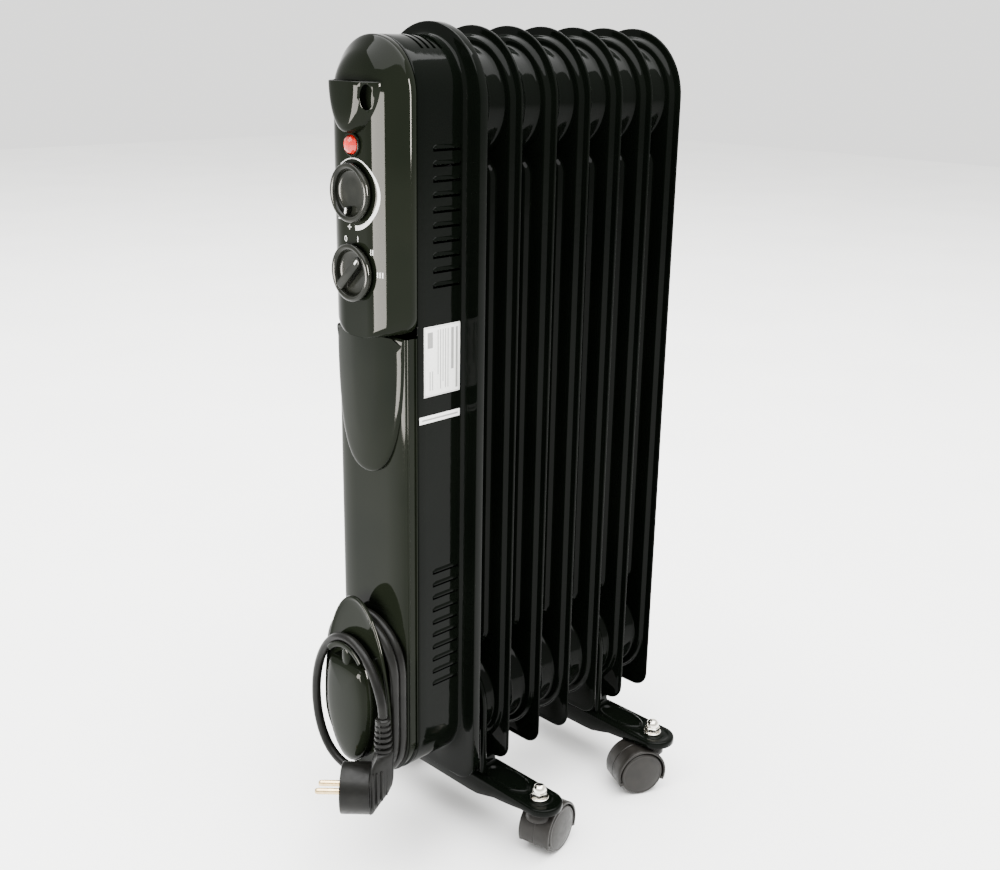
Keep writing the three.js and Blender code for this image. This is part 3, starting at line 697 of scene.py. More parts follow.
def make_louvre_hoods():
    """The pressed lip over each louvre, which fades into the wall at both ends."""
    lips = Form()
    for side in (-1, 1):
        for z in louvre_rows:
            rings = []
            for i in range(15):
                share = i / 14
                x = LOUVRE_LEFT - 0.7 + (LOUVRE_RIGHT - LOUVRE_LEFT + 1.4) * share
                gap = min(share, 1 - share) * 24.4
                b = math.sqrt(1 - (1 - min(gap / 3.0, 1)) ** 2)
                section = ((-0.4, 2.3 * b + 0.1), (0.12 * b, 2.0 * b), (0.5 * b, 1.3 * b),
                           (0.8 * b, 0.4 * b), (0.9 * b, -0.5 * b), (0.6 * b, -0.8 * b),
                           (0.2 * b, -0.2 * b), (-0.8, 0.5 * b))
                rings.append([(x, side * (HOUSING_HALF + out), z + LOUVRE_HALF + up)
                              for out, up in section])
            lips.rings(rings, True, True, True)
    lips.piece("louvre_hoods", "enamel", sharp=50)


make_shell()
make_louvre_hoods()


def make_front_panel():
    """The lower front: a shallow dome that ends in a half circle under the cord winder."""
    half, low, top = HOUSING_HALF - 2, HOUSING_LOW + 1, COVER_LOW - 0.3
    middle_z = low + half

    def open_ring(inset, x):
        reach = half - inset
        right = [(reach * s, middle_z - reach * c) for c, s in round_steps(0, QUARTER, 20)]
        right += [(reach, middle_z + (top - middle_z) * i / 12) for i in range(1, 13)]
        return [(x, -y, z) for y, z in reversed(right)] + [(x, y, z) for y, z in right[1:]]

    form = Form()
    stops = [(-1.3, -50.35), (-1.3, -51.1), (0, -51.6), (0, -57.6)]
    stops += [(20 * (1 - c), -59 - 3.3 * s) for c, s in round_steps(0, QUARTER, 9)]
    form.rings([open_ring(inset, x) for inset, x in stops], False)
    last = open_ring(20, FACE_CREST)
    count = len(last)
    form.add(last, [(i, i + 1, count - 2 - i, count - 1 - i) for i in range(count // 2)])
    form.piece("lower_front", "gloss_plastic", "front_panel", sharp=40)

    trim = Form()
    bead = [(-0.1, -57.0), (-0.75, -57.25), (-0.95, -57.8), (-0.75, -58.35), (-0.1, -58.6),
            (0.4, -58.4), (0.4, -57.2), (-0.1, -57.0)]
    trim.rings([open_ring(inset, x) for inset, x in bead], False)
    trim.piece("front_trim", "gloss_plastic", sharp=60)


def make_cover():
    """The control cover: a deep dome with a round top and round lower corners."""
    rings = []
    stops = [(1.2, -50.4), (0.35, -50.55), (0.0, -51.1), (0.0, -55.2), (0.12, -56.2),
             (0.5, -57.1), (1.2, -58.0)]
    stops += [(1.2 + 8.57 * i / 4, -58.0 - 8.0 * i / 4) for i in range(1, 4)]
    stops += [(27.5 - 26 * s, COVER_CREST + 26 * (1 - c))
              for c, s in round_steps(math.radians(43), 0, 16)]
    stops.append((28.5, COVER_CREST))
    for inset, x in stops:
        half = HOUSING_HALF - inset
        low = COVER_LOW + 1.5 - 0.12 * inset
        outline = half_outline(half, low, HOUSING_HIGH - inset, 13 - 0.3 * inset, even_shares(24))
        rings.append(full_ring(outline, x))
    form = Form()
    form.rings(rings, True, True)
    mirrored_cap(form, outline, COVER_CREST)
    return form.piece("control_face", "gloss_plastic", "control_cover", sharp=40)


def bezier(a, b, c, d, steps):
    """(y, z) points of the curve from a to d that b and c pull on."""
    return [tuple((1 - t) ** 3 * a[k] + 3 * t * (1 - t) ** 2 * b[k] + 3 * t * t * (1 - t) * c[k]
                  + t ** 3 * d[k] for k in (0, 1)) for t in (i / steps for i in range(steps + 1))]


def inset_loop(points, distance):
    """Moves each corner of a closed anticlockwise (y, z) loop inwards."""
    moved = []
    for before, at, after in zip(points[-1:] + points[:-1], points, points[1:] + points[:1]):
        along = Vector((after[0] - before[0], after[1] - before[1])).normalized()
        moved.append((at[0] - along.y * distance, at[1] + along.x * distance))
    return moved


def slab(form, loop, stops):
    """Stacks a loop's insets: stops are (inset, x), and the last one is capped."""
    rings = [[(x, y, z) for y, z in inset_loop(loop, inset)] for inset, x in stops]
    form.rings(rings, True, False, True)


def make_tongue():
    """The smooth crowned tongue below the cover, with a rounded edge."""
    top, tip = COVER_LOW - 0.3, COVER_LOW - 104
    right = bezier((36.5, top), (37.5, top - 79), (23, tip), (0, tip), 26)
    ordered = [(-y, z) for y, z in right] + [(y, z) for y, z in reversed(right[:-1])]
    rings = []
    for inset, drop in ((0, None), (0, 1.9), (0.15, 1.2), (0.5, 0.65), (1.1, 0.3), (2.0, 0.1),
                        (4.5, 0), (9, 0), (14, 0), (20, 0), (26, 0)):
        ring = []
        for y, z in inset_loop(ordered, inset) if inset < 5 else ordered:
            if inset >= 5:
                y, z = y * (1 - inset / 36), top - (top - z) * (1 - inset / 100)
            ring.append((-58.8 if drop is None else -66.8 + drop + y * y / 310, y, z))
        rings.append(ring)
    form = Form()
    form.rings(rings, True, False, True)
    form.piece("cover_tongue", "gloss_plastic", "panel_tongue", sharp=42)


make_front_panel()
control_face = make_cover()
make_tongue()


def surface_of(obj):
    """A tree of a heater-fixed piece's surface, in metres of the row frame."""
    mesh = obj.data
    return BVHTree.FromPolygons([v.co for v in mesh.vertices],
                                [tuple(p.vertices) for p in mesh.polygons])


cover_surface = surface_of(control_face)


def on_cover(y, z, lift=0.12):
    """The point of the control cover straight in front of (y, z), raised by lift."""
    spot = cover_surface.ray_cast(row_point(-120, y, z), Vector((1, 0, 0)))[0] / MM
    return (spot.x - lift - FIRST_FIN, spot.y, spot.z)


def stroke(form, line, widths):
    """A printed line on the cover along (y, z) points, with a width at each point."""
    count = len(line)
    points = []
    for i, (y, z) in enumerate(line):
        before, after = line[max(i - 1, 0)], line[min(i + 1, count - 1)]
        along = Vector((after[0] - before[0], after[1] - before[1])).normalized()
        for side in (-0.5, 0, 0.5):
            reach = side * widths[i]
            points.append(on_cover(y - along.y * reach, z + along.x * reach))
    form.add(points, [(3 * i + k, 3 * i + k + 1, 3 * i + k + 4, 3 * i + k + 3)
                      for i in range(count - 1) for k in (0, 1)])


def clock(z, turn, radius):
    """(y, z) at a clock angle in degrees round a dial centre, seen from the front."""
    turn = math.radians(turn)
    return (-radius * math.sin(turn), z + radius * math.cos(turn))


THERMOSTAT_Z, MODE_Z, LAMP_Z = 529.5, 474.7, 561.5


def make_prints():
    """The generic marks round the dials: a growing arc, plus and minus, 0, I, II and III."""
    form = Form()
    line, widths = [], []
    for i in range(61):
        share = i / 60
        line.append(clock(THERMOSTAT_Z, -62 + 240 * share, 22.4 + 1.7 * share))
        widths.append(0.4 + 3.0 * share ** 1.5)
    stroke(form, line, widths)

    def bar(centre, angle, length):
        c, s = math.cos(math.radians(angle)), math.sin(math.radians(angle))
        stroke(form, [(centre[0] + c * length * t, centre[1] + s * length * t)
                      for t in (-0.5, 0, 0.5)], [0.75] * 3)

    plus = clock(THERMOSTAT_Z, 193, 24.6)
    bar(plus, 0, 3.6)
    bar(plus, 90, 3.6)
    bar(clock(THERMOSTAT_Z, 222, 26), 0, 3.0)
    zero = clock(MODE_Z, -24, 24.4)
    stroke(form, [(zero[0] + 1.1 * c, zero[1] + 1.7 * s)
                  for c, s in round_steps(0, FULL_TURN, 20)], [0.6] * 21)
    for turn, strokes in ((8, 1), (48, 2), (88, 3)):
        centre = clock(MODE_Z, turn, 23.6)
        for i in range(strokes):
            bar((centre[0] + 1.7 * (i - (strokes - 1) / 2), centre[1]), 90, 3.8)
    form.piece("dial_prints", WHITE_INK, sharp=60)


make_prints()


def carve(obj, cutter):
    """Cuts one closed piece by another and keeps the result as the piece's own mesh."""
    modifier = obj.modifiers.new("hole", "BOOLEAN")
    modifier.object = cutter
    modifier.solver = "EXACT"
    graph = bpy.context.evaluated_depsgraph_get()
    mesh = bpy.data.meshes.new_from_object(obj.evaluated_get(graph))
    obj.modifiers.remove(modifier)
    obj.data = mesh
    spare = cutter.data
    bpy.data.objects.remove(cutter)
    bpy.data.meshes.remove(spare)


def make_cup():
    """The bulged half-moon cup, hollow and open at the top, with its oval finger hole."""
    half, top, depth, wall = 25.3, 602.5, 34.0, 2.2
    # the shares of its width and of its depth, then x
    stops = [(1, 1, -60), (1, 1, -69.4), (0.992, 0.998, -70.9), (0.965, 0.995, -72.5),
             (0.92, 0.992, -74.0), (0.80, 0.98, -77.0), (0.68, 0.96, -79.6),
             (0.60, 0.935, -81.0), (0.51, 0.88, -81.9), (0.40, 0.78, -82.35),
             (0.27, 0.58, -82.6), (0.12, 0.3, -82.7), (0, 0, -82.7)]

    def arcs(half_width, drop, back):
        return [[(x + back, -half_width * wide * c, top - drop * tall * s)
                 for c, s in round_steps(0, HALF_TURN, 40)] for wide, tall, x in stops]

    outer, inner = arcs(half, depth, 0), arcs(half - wall, depth - wall, wall)
    form = Form()
    form.rings(outer, False)
    form.rings(inner, False)
    form.rings([outer[0], inner[0]], False)
    lip = []
    for share, rise in ((0, 0), (0.25, 0.55), (0.75, 0.55), (1, 0)):
        left = [Vector(a[0]).lerp(Vector(b[0]), share) for a, b in zip(outer, inner)]
        right = [Vector(a[-1]).lerp(Vector(b[-1]), share) for a, b in zip(outer, inner)]
        lip.append([(p.x, p.y, p.z + rise) for p in left + right[-2::-1]])
    form.rings(lip, False)
    form.add([ring[0] for ring in lip], [(0, 1, 2, 3)])
    form.add([ring[-1] for ring in lip], [(0, 1, 2, 3)])
    cup = form.piece("grab_cup", "gloss_plastic", "handle_cup", sharp=50)
    hole = Form()
    place = (Matrix.Translation((-20.2, 37.3, top - 9.5)) @ Matrix.Rotation(math.pi / 4, 4, "Z")
             @ Matrix.Diagonal((1, 1, 1.9, 1)))
    hole.lathe([(4.4, -104), (4.4, -72)], 40, place @ ALONG_X)
    carve(cup, hole.piece("cup_hole", "gloss_plastic"))


THERMOSTAT_PLACE = Matrix.Translation((0, 0, THERMOSTAT_Z)) @ Matrix.Rotation(3.4, 4, "X")
MODE_PLACE = Matrix.Translation((0, 0, MODE_Z)) @ Matrix.Rotation(0.8, 4, "X")
POINTER_FRONT, GRIP_FRONT = -78.4, -80.0


def make_dial(node, body, z):
    """A dished knob with a rolled rim, and its shaft."""
    form = Form()
    place = on_x(-73.3, 0, z, True)
    form.lathe([(0, 0.0), (17.9, 0.0), (18.3, 0.4), (18.9, 1.6), (19.7, 2.8), (20.15, 3.5),
                (20.25, 4.2), (20.05, 4.9), (19.6, 5.5), (18.9, 5.95), (18.0, 6.1),
                (17.1, 5.9), (16.3, 5.3), (15.7, 4.3), (15.4, 3.0), (15.2, 1.8), (14.6, 1.1),
                (13.2, 0.75), (9, 0.7), (0, 0.7)], 96, place)
    form.lathe([(3, -23.4), (3, 0.3)], 24, place)
    form.piece(node + "_shell", "knob_plastic", node, body=body, sharp=50)


def make_dial_bar(name, body, place, half, low, high, front):
    """The raised pointer or grip on a dial."""
    right = panel_outline(half, low, high, half * 0.98)
    form = Form()
    slab(form, right + [(-y, z) for y, z in right[-2::-1]],
         [(0, -74.5), (0, front + 0.9), (0.2, front + 0.4), (0.55, front + 0.1), (1.1, front)])
    form.piece(name, "knob_plastic", body=body, local=place, sharp=45)


def make_dial_tick(name, body, place, front):
    """The white line printed on a pointer or grip."""
    form = Form()
    form.rings([[(front - 0.12, y, z) for y in (-0.7, 0.7)] for z in (10.6, 12.7, 14.8)], False)
    form.piece(name, WHITE_INK, body=body, local=place)


def make_lamp():
    """The faceted red lens in its round bezel."""
    form = Form()
    place = on_x(-73.0, 0, LAMP_Z, True)
    form.lathe([(6.4, 0), (6.4, 2.0), (5.5, 4.0), (3.3, 5.5), (0, 6.2)], 10, place)
    form.lathe([(5.2, -15), (5.2, 0.4)], 24, place)
    form.piece("pilot_lens", "lamp_red", "lamp_lens", sharp=4)
    bezel = Form()
    bezel.lathe([(6.6, 0.2), (6.6, 1.9), (7.0, 2.25), (7.7, 2.2), (8.1, 1.7), (8.2, 0.2)], 48,
                place)
    bezel.piece("pilot_bezel", "gloss_plastic", sharp=60)


make_cup()
make_dial("thermostat_knob", "thermostat_dial", THERMOSTAT_Z)
make_dial("mode_knob", "mode_dial", MODE_Z)
make_dial_bar("thermostat_pointer", "thermostat_dial", THERMOSTAT_PLACE, 1.6, 9.8, 15.6,
              POINTER_FRONT)
make_dial_bar("mode_grip", "mode_dial", MODE_PLACE, 3.4, -15.9, 15.9, GRIP_FRONT)
make_dial_tick("thermostat_tick", "thermostat_dial", THERMOSTAT_PLACE, POINTER_FRONT)
make_dial_tick("mode_tick", "mode_dial", MODE_PLACE, GRIP_FRONT)
make_lamp()


# ---- labels -------------------------------------------------------------------------------
def make_labels():
    """Two plain paper labels with rows of grey bars, on the -Y side of the housing."""
    face = -HOUSING_HALF
    paper, print_bars = Form(), Form()

    def sheet(x0, x1, z0, z1):
        columns = 9
        rings = [[(x0 + (x1 - x0) * i / columns, face - lift, z) for i in range(columns + 1)]
                 for z, lift in ((z0, 0.02), (z0 + 0.3, 0.16), (z1 - 0.3, 0.16), (z1, 0.02))]
        paper.rings(rings, False)

    def bar(x0, x1, z0, z1):
        print_bars.rings([[(x, face - 0.2, z) for x in (x0, (x0 + x1) / 2, x1)]
                          for z in (z0, z1)], False)

    sheet(-44.6, -10.3, 386.6, 437.6)
    sheet(-49.0, -10.1, 367.2, 372.6)
    for x, low, high, width in ((-13.4, 389.5, 434.5, 2.0), (-17.6, 404, 434.5, 2.6),
                                (-21.8, 391, 434.5, 0.8), (-24.2, 391, 434.5, 0.8),
                                (-26.6, 396, 434.5, 0.8), (-29.0, 391, 434.5, 0.8),
                                (-31.4, 402, 434.5, 0.8), (-38.8, 422, 433.5, 5.0),
                                (-36.6, 391, 405, 0.8), (-39.0, 391, 405, 0.8)):
        bar(x - width / 2, x + width / 2, low, high)
    for x0, x1, z0, z1 in ((-43.9, -11.1, 387.2, 387.5), (-43.9, -11.1, 436.7, 437.0),
                           (-43.9, -43.6, 387.5, 436.7), (-11.4, -11.1, 387.5, 436.7)):
        bar(x0, x1, z0, z1)
    bar(-46.5, -12.0, 369.2, 370.4)
    paper.piece("side_labels", WHITE_INK, sharp=60)
    print_bars.piece("label_bars", GREY_INK, sharp=60)


make_labels()


# ---- cord winder --------------------------------------------------------------------------
def make_winder_hub():
    """The hub that the cord is wound on, cut back along its +Y side to leave the gland room."""
    radius, low_z, high_z = 26.6, WINDER_MIDDLE - WINDER_STRAIGHT, WINDER_MIDDLE + WINDER_STRAIGHT
    notch_low, notch_high, notch_side = 104, 178, 7

    def bend(centre, start, end):
        return [(radius * c, centre + radius * s) for c, s in round_steps(start, end, 16)]

    loop = [(y, z) for y, z in bend(low_z, -QUARTER, 0) if z < notch_low]
    loop += [(math.sqrt(radius ** 2 - (low_z - notch_low) ** 2), notch_low),
             (notch_side, notch_low), (notch_side, notch_high),
             (math.sqrt(radius ** 2 - (notch_high - high_z) ** 2), notch_high)]
    loop += [(y, z) for y, z in bend(high_z, 0, QUARTER) if z > notch_high]
    loop += bend(high_z, QUARTER, HALF_TURN)[1:] + bend(low_z, HALF_TURN, 3 * QUARTER)[:-1]
    hub = Form()
    slab(hub, loop, [(0, -62.7), (0, -77.2)])
    hub.piece("winder_core", "gloss_plastic", "winder_hub", sharp=30)


def make_winder_plate():
    """The egg-shaped flange with its rolled edge."""
    egg = [(40 * c, 128 + (101 if s > 0 else 40) * s) for c, s in circle(96)]
    plate = Form()
    rings = [(1.2, -77.5), (0.35, -77.65), (0, -78.1), (-0.1, -78.9), (0.05, -79.7),
             (0.5, -80.15), (1.2, -80.3), (2.0, -80.15), (2.8, -79.75), (4.0, -79.55),
             (9.0, -79.4)]
    plate.rings([[(x, y, z) for y, z in inset_loop(egg, inset)] for inset, x in rings],
                True, True, True)
    plate.piece("winder_plate", "gloss_plastic", "winder_flange", sharp=40)


def make_winder_cap():
    """The dome: a tall oval cut off at the top by a slight crown."""
    half, middle_z, top, bottom, swell_z = 25.5, 147.0, 177.0, 92.0, 142
    start = math.asin((top - middle_z) / 46)
    outline = [(-half * c, middle_z + (46 if s > 0 else middle_z - bottom) * s)
               for c, s in round_steps(start, -HALF_TURN - start, 56)]
    shoulder = outline[-1][0]
    outline += [(shoulder - 2 * shoulder * share, top + 1.6 * math.sin(math.pi * share))
                for share in even_shares(16)]
    dome = Form()
    rings = []
    for scale, x in ((1.0, -79.4), (1.0, -84.6), (0.993, -86.3), (0.972, -88.2), (0.935, -89.8),
                     (0.88, -91.0), (0.80, -91.8), (0.68, -92.3), (0.5, -92.7), (0.3, -92.9),
                     (0.12, -93.0)):
        upper = 0.35 + 0.65 * scale
        rings.append([(x, y * scale, swell_z + (z - swell_z) * (upper if z > swell_z else scale))
                      for y, z in outline])
    dome.rings(rings, True, False, True)
    dome.piece("winder_cap", "gloss_plastic", "winder_dome", sharp=44)


def make_winder_saddle():
    """The hook above the dome that the cord's loop hangs on: an arched rail and its nose."""
    saddle = Form()
    section = [(21.9, -79.6), (24.5, -79.6), (24.9, -80.4), (24.9, -88.4), (25.3, -89.2),
               (26.3, -89.9), (26.5, -90.9), (25.9, -91.6), (24.8, -91.8), (22.6, -91.6),
               (21.9, -90.9)]
    saddle.rings([[(x, r * c, 168 + r * s) for r, x in section]
                  for c, s in round_steps(0.22 * math.pi, 0.78 * math.pi, 30)], True, True, True)
    nose = ((-79.6, 6.5), (-84, 5.6), (-88, 4.9), (-89.6, 4.2), (-90.3, 2.8))
    saddle.rings([[(x, wide * c, 182 + (wide + 4.4) * s) for c, s in circle(24)]
                  for x, wide in nose], True, False, True)
    saddle.piece("winder_saddle", "gloss_plastic", sharp=44, bevel=0.4)


make_winder_hub()
make_winder_plate()
make_winder_cap()
make_winder_saddle()


# ---- feet ---------------------------------------------------------------------------------
FOOT_TOP = extent("foot_bar_1", Z)[1] - 8.2
FOOT_PLACES = [middle(f"foot_bar_{n}", X) - FIRST_FIN for n in (1, 2)]
CASTER_Y, CLAMP_Y, CLAMP_OFFSET = 96.0, 40.0, -9.0
FOOT_HALF, FOOT_REACH = 16, 100


def skirt_low(y):
    """The lower edge of the foot bar's skirt at a distance along the bar."""
    places = ((0, 34.6), (35, 34.6), (67, 41.6), (98, 45.6), (120, 45.6))
    y = abs(y)
    for (a, low), (b, high) in zip(places, places[1:]):
        if y <= b:
            return low + (high - low) * smooth((y - a) / (b - a))
    return places[-1][1]


def bar_ring(inset, height):
    """A plan ring of the foot bar; height is a number or a function of y."""
    half, plan = FOOT_HALF - inset, []
    for side in (1, -1):
        plan += [(side * half, side * FOOT_REACH * (2 * i / 20 - 1)) for i in range(1, 20)]
        plan += [(side * half * c, side * (FOOT_REACH + half * s))
                 for c, s in round_steps(0, HALF_TURN, 20)]
    return [(x, y, height(y) if callable(height) else height) for x, y in plan]


def make_foot_bar(number, local):
    """The pressed cross bar: its skirt, rolled edge, oval swages and caster seats."""
    bar = Form()
    skirt = ((2, lambda y: skirt_low(y) + 0.5), (1.6, skirt_low), (0.3, skirt_low),
             (0, lambda y: skirt_low(y) + 0.4))
    edge = ((0, 2.2), (0.15, 1.3), (0.6, 0.55), (1.3, 0.12), (2.3, 0), (4.5, 0), (5.1, 0.25),
            (5.9, 0.55), (7, 0.6))
    bar.rings([bar_ring(2, FOOT_TOP - 2)] + [bar_ring(inset, height) for inset, height in skirt]
              + [bar_ring(inset, FOOT_TOP - drop) for inset, drop in edge], True, True, True)
    swage = ((0, -0.7), (-0.5, 0.3), (-1.1, 1.0), (-1.9, 1.35), (-2.7, 1.1), (-3.4, 0.3),
             (-4.1, -0.4), (-5.2, -0.5))
    for side in (-1, 1):
        bar.rings([[((12.2 + grow) * c, side * 60 + (24.5 + grow) * s, FOOT_TOP + rise)
                    for c, s in circle(60)] for grow, rise in swage], True, False, True)
        bar.lathe([(11.2, -0.7), (10.9, -0.2), (10.2, 0.1), (9.2, 0.2), (0, 0.2)], 48,
                  Matrix.Translation((0, side * CASTER_Y, FOOT_TOP)))
    bar.piece(f"foot_channel_{number}", "enamel", f"foot_bar_{number}", local=local, sharp=42)


def make_cradle(number, local):
    """The saddle block that the lower collar rests on."""
    cradle = Form()
    rings = []
    for half_y, low_x, high_x, z in ((36.5, -12, 15, 51.3), (35.0, -11, 14, 51.9),
                                     (34.3, -10.3, 13.3, 53.0), (34, -10, 13, 55),
                                     (34, -10, 13, 58.4), (33.6, -9.6, 12.6, 59.2),
                                     (32.8, -8.8, 11.8, 59.7)):
        corners = ((half_y - 3, high_x - 3), (half_y - 3, low_x + 3), (-half_y + 3, low_x + 3),
                   (-half_y + 3, high_x - 3))
        rings.append([(cx + 3 * c, cy + 3 * s, z) for start, (cy, cx) in enumerate(corners)
                      for c, s in round_steps(QUARTER * start, QUARTER * (start + 1), 6)])
    cradle.rings(rings, True, False, True)
    cradle.piece(f"foot_cradle_{number}", "enamel", local=local, sharp=42)


def make_clamp_bolt(number, local):
    """The threaded bolt bent round the lower collar."""
    legs = range(37, int(LOW_COLLAR), 3)
    path = [(0, -CLAMP_Y, z) for z in legs]
    path += [(0, -CLAMP_Y * c, LOW_COLLAR + CLAMP_Y * s) for c, s in round_steps(0, HALF_TURN, 40)]
    path += [(0, CLAMP_Y, z) for z in range(int(LOW_COLLAR) - 3, 36, -3)]
    across = Vector((1, 0, 0))
    last = len(path) - 1
    bolt = Form()
    rings = []
    for i, spot in enumerate(path):
        along = (Vector(path[min(i + 1, last)]) - Vector(path[max(i - 1, 0)])).normalized()
        out = along.cross(across)
        radius = 2.9 if 1 < i < last - 1 else 2.6
        rings.append([Vector(spot) + radius * (c * across + s * out) for c, s in circle(16)])
    bolt.rings(rings, True, True, True)
    thread = [(2.6, 37.2)]
    for k in range(9):
        thread += [(3.12, 37.6 + 1.3 * k), (2.75, 38.25 + 1.3 * k)]
    for side in (-1, 1):
        bolt.lathe(thread + [(2.6, 49)], 20, Matrix.Translation((0, side * CLAMP_Y, 0)))
    bolt.piece(f"u_bolt_{number}", "enamel", f"foot_u_bolt_{number}", local=local)


def make_wing_nut(number, local):
    nut = Form()
    nut.lathe([(4.0, 40.5), (4.6, 40.7), (4.9, 41.4), (4.8, 46), (5.6, 47.2), (6.2, 48.3),
               (6.2, 49.1), (3.4, 49.2)], 28)
    wing = ((3.6, 41.6, 46.0, 1.5), (5.5, 40.8, 45.8, 1.3), (8.0, 39.6, 45.9, 1.15),
            (9.6, 39.4, 44.9, 1.05), (10.3, 40.4, 43.4, 0.8))
    for side in (-1, 1):
        nut.rings([[(thick * c, side * reach, (low + high) / 2 + (high - low) / 2 * s)
                    for c, s in circle(14)] for reach, low, high, thick in wing],
                  True, True, True)
    nut.piece(f"wing_nut_body_{number}", "zinc_steel", f"wing_nut_{number}", local=local)


for foot_number, foot_x in enumerate(FOOT_PLACES, 1):
    foot_place = Matrix.Translation((foot_x, 0, 0))
    make_foot_bar(foot_number, foot_place)
    make_cradle(foot_number, foot_place)
    make_clamp_bolt(foot_number, foot_place @ Matrix.Translation((CLAMP_OFFSET, 0, 0)))
    for end, clamp_y in enumerate((-CLAMP_Y, CLAMP_Y)):
        make_wing_nut(2 * foot_number - 1 + end,
                      foot_place @ Matrix.Translation((CLAMP_OFFSET, clamp_y, 0)))


# ---- casters ------------------------------------------------------------------------------
WHEEL_RADIUS, TRAIL, HOOD_INNER, WEB_RADIUS = 19.5, 14.0, 20.6, 21


def along_y(side):
    """A lathe frame at the axle whose axis runs outwards along +Y or -Y of the caster."""
    turn = Matrix(((1, 0, 0), (0, 0, side), (0, 1, 0))).to_4x4()
    return Matrix.Translation((TRAIL, 0, WHEEL_RADIUS)) @ turn


def make_hood(number, local):
    """The arched shell over the two wheels, its web, its neck and the axle's two ends."""
    form = Form()
    section = [(HOOD_INNER, -14), (21.9, -14), (22.35, -13.8), (22.6, -13.3), (22.6, -9),
               (22.6, -0.7), (22.25, -0.35), (22.25, 0.35), (22.6, 0.7), (22.6, 9),
               (22.6, 13.3), (22.35, 13.8), (21.9, 14), (HOOD_INNER, 14)]
    start, end = math.radians(-19.4), math.radians(199.4)
    form.rings([[(TRAIL + r * c, y, WHEEL_RADIUS + r * s) for r, y in section]
                for c, s in round_steps(start, end, 60)], True, True, True)
    form.rings([[(TRAIL + WEB_RADIUS * c, y, WHEEL_RADIUS + WEB_RADIUS * s)
                 for c, s in round_steps(start, end, 40)] for y in (-2.6, 2.6)],
               True, True, True)
    for tip in (start, end):
        place = Matrix.Translation((TRAIL, 0, WHEEL_RADIUS)) @ Matrix.Rotation(-tip, 4, "Y")
        for low_y, high_y in ((-14, -11.6), (11.6, 14)):
            form.block((18.8, low_y, -1.2), (22.3, high_y, 1.2), place)
    form.lathe([(10.6, 34), (10.4, 36.4), (9.4, 38.0), (8.6, 39.2), (8.1, 40.6), (8, 42.4),
                (8.9, 43.0), (9.3, 43.8), (9.3, 47.6), (8.9, 48.7), (8.1, 49.1), (0, 49.2)], 48)
    for side in (1, -1):
        form.lathe([(3, 2.6), (3, 13)], 20, along_y(side))
    form.piece(f"caster_fork_{number}", "caster_plastic", f"caster_hood_{number}",
               body=f"caster_{number}", local=local, sharp=40, bevel=0.25)


def make_wheel(name, side, local):
    """One wheel, with a rolled rim and a dished outer face."""
    form = Form()
    profile = [(0, 2.9), (16.8, 2.9), (18.6, 3.3), (19.3, 4.2), (19.5, 5.4), (19.5, 11.2),
               (19.4, 12.4), (19.0, 13.3), (18.2, 13.9), (17.2, 14.15), (16.7, 13.95),
               (16.2, 14.1), (13, 14.75), (8, 15.25), (3, 15.5), (0, 15.5)]
    form.lathe(profile, 72, along_y(side))
    form.piece(f"caster_roller_{name}", "caster_plastic", f"caster_wheel_{name}",
               body=f"wheel_{name}", local=local, sharp=38)


def make_stem(number, local):
    """The washer, nut and dome on top of the foot, and the stem below them."""
    form = Form()
    top = Matrix.Translation((0, 0, FOOT_TOP))
    form.lathe([(7.0, 0.3), (7.6, 0.5), (7.7, 1.2), (7.3, 1.7), (4, 1.8)], 48, top)
    form.lathe([(5.8, 1.6), (6.6, 2.2), (6.6, 5.6), (5.9, 6.2), (5.2, 6.3)], 6,
               top @ Matrix.Rotation(math.pi / 6, 4, "Z"))
    form.lathe([(5.5, 6.0), (5.45, 7.9), (5.0, 9.7), (4.1, 11.0), (2.9, 11.8), (1.4, 12.2),
                (0, 12.3)], 40, top)
    form.lathe([(4, 39.8 - FOOT_TOP), (4, 1)], 24, top)
    form.piece(f"caster_nut_{number}", "nickel", f"caster_stem_{number}", local=local, sharp=30,
               bevel=0.2)


CASTER_TURNS = (11.5, 154, -26, 200)
for caster, caster_turn in enumerate(CASTER_TURNS, 1):
    side_y = -CASTER_Y if caster < 3 else CASTER_Y
    spot = (Matrix.Translation((FOOT_PLACES[(caster - 1) % 2], side_y, 0))
            @ Matrix.Rotation(math.radians(caster_turn), 4, "Z"))
    make_stem(caster, spot)
    make_hood(caster, spot)
    make_wheel(f"{caster}a", -1, spot)
    make_wheel(f"{caster}b", 1, spot)


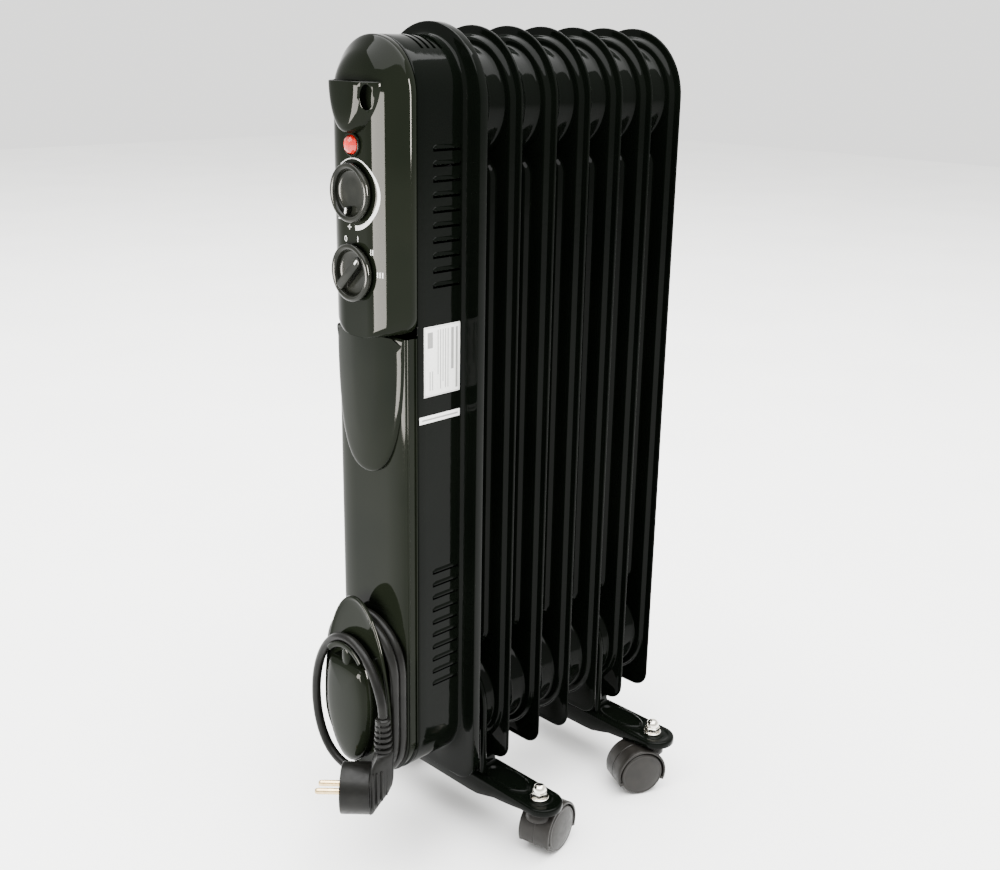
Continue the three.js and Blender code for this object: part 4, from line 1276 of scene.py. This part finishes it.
# ---- inner CAD pieces that stay as they are ------------------------------------------------
INSIDE = {"heating_element": "zinc_steel", "element_flange": "pin_brass",
          "oil_filler_plug": "zinc_steel", "thermal_cutout": "moulding",
          "thermostat": "moulding", "mode_switch": "moulding", "lamp_holder": "moulding",
          "terminal_block": "moulding"}
for node_name, finish_name in INSIDE.items():
    for material_slot in frame["nodes"][node_name].material_slots:
        material_slot.material = FINISHES[finish_name]


# ---- floor and light ----------------------------------------------------------------------
SHINY_MATERIALS = ("enamel", "gloss_moulding", "knob_moulding")
WHITE_LIGHT, WARM_LIGHT, SKY_LIGHT = (1.0, 1.0, 1.0), (1.0, 0.95, 0.86), (1.0, 0.995, 0.98)


def make_stage():
    bm = bmesh.new()
    bmesh.ops.create_grid(bm, x_segments=2, y_segments=2, size=6)
    floor = mesh_object("floor", bm)
    floor.location.z = -0.0002   # just under the wheels, so that the two don't flicker
    paper = Recipe("floor_paper", (0.93, 0.93, 0.92), 0.9)
    paper.colors((0.90, 0.90, 0.89), (0.93, 0.93, 0.92), 3)
    floor.data.materials.append(paper.material)


def softbox(name, place, target, size, power, color=WHITE_LIGHT):
    """An area lamp, aimed at target."""
    data = bpy.data.lights.new(name, "AREA")
    data.shape = "RECTANGLE"
    data.size, data.size_y = size
    data.energy = power
    data.color = color
    lamp = new_object(name, data)
    lamp.location = place
    lamp.rotation_euler = (Vector(target) - Vector(place)).to_track_quat("-Z", "Y").to_euler()
    return lamp


def make_light():
    world = bpy.data.worlds.new("studio")
    world.use_nodes = True
    background = world.node_tree.nodes["Background"]
    background.inputs["Color"].default_value = (*SKY_LIGHT, 1)
    background.inputs["Strength"].default_value = 1.8
    bpy.context.scene.world = world
    softbox("overhead", (-0.3, -0.2, 3.2), (0, 0, 0), (4.4, 4.4), 760)
    shiny = bpy.data.collections.new("shiny_pieces")
    for piece in bpy.context.scene.objects:
        if piece.type == "MESH" and piece.data.materials:
            if piece.data.materials[0].name in SHINY_MATERIALS:
                shiny.objects.link(piece)
    # the two studio windows light the glossy pieces alone
    for window in (softbox("window_right", (0.66, -2.0, 1.0), (0, 0, 0.8), (0.6, 1.3), 900,
                           WARM_LIGHT),
                   softbox("window_front", (-1.15, -0.02, 0.35), (0, -0.02, 0.35),
                           (0.8, 0.66), 225, WARM_LIGHT)):
        window.light_linking.receiver_collection = shiny


make_stage()
make_light()
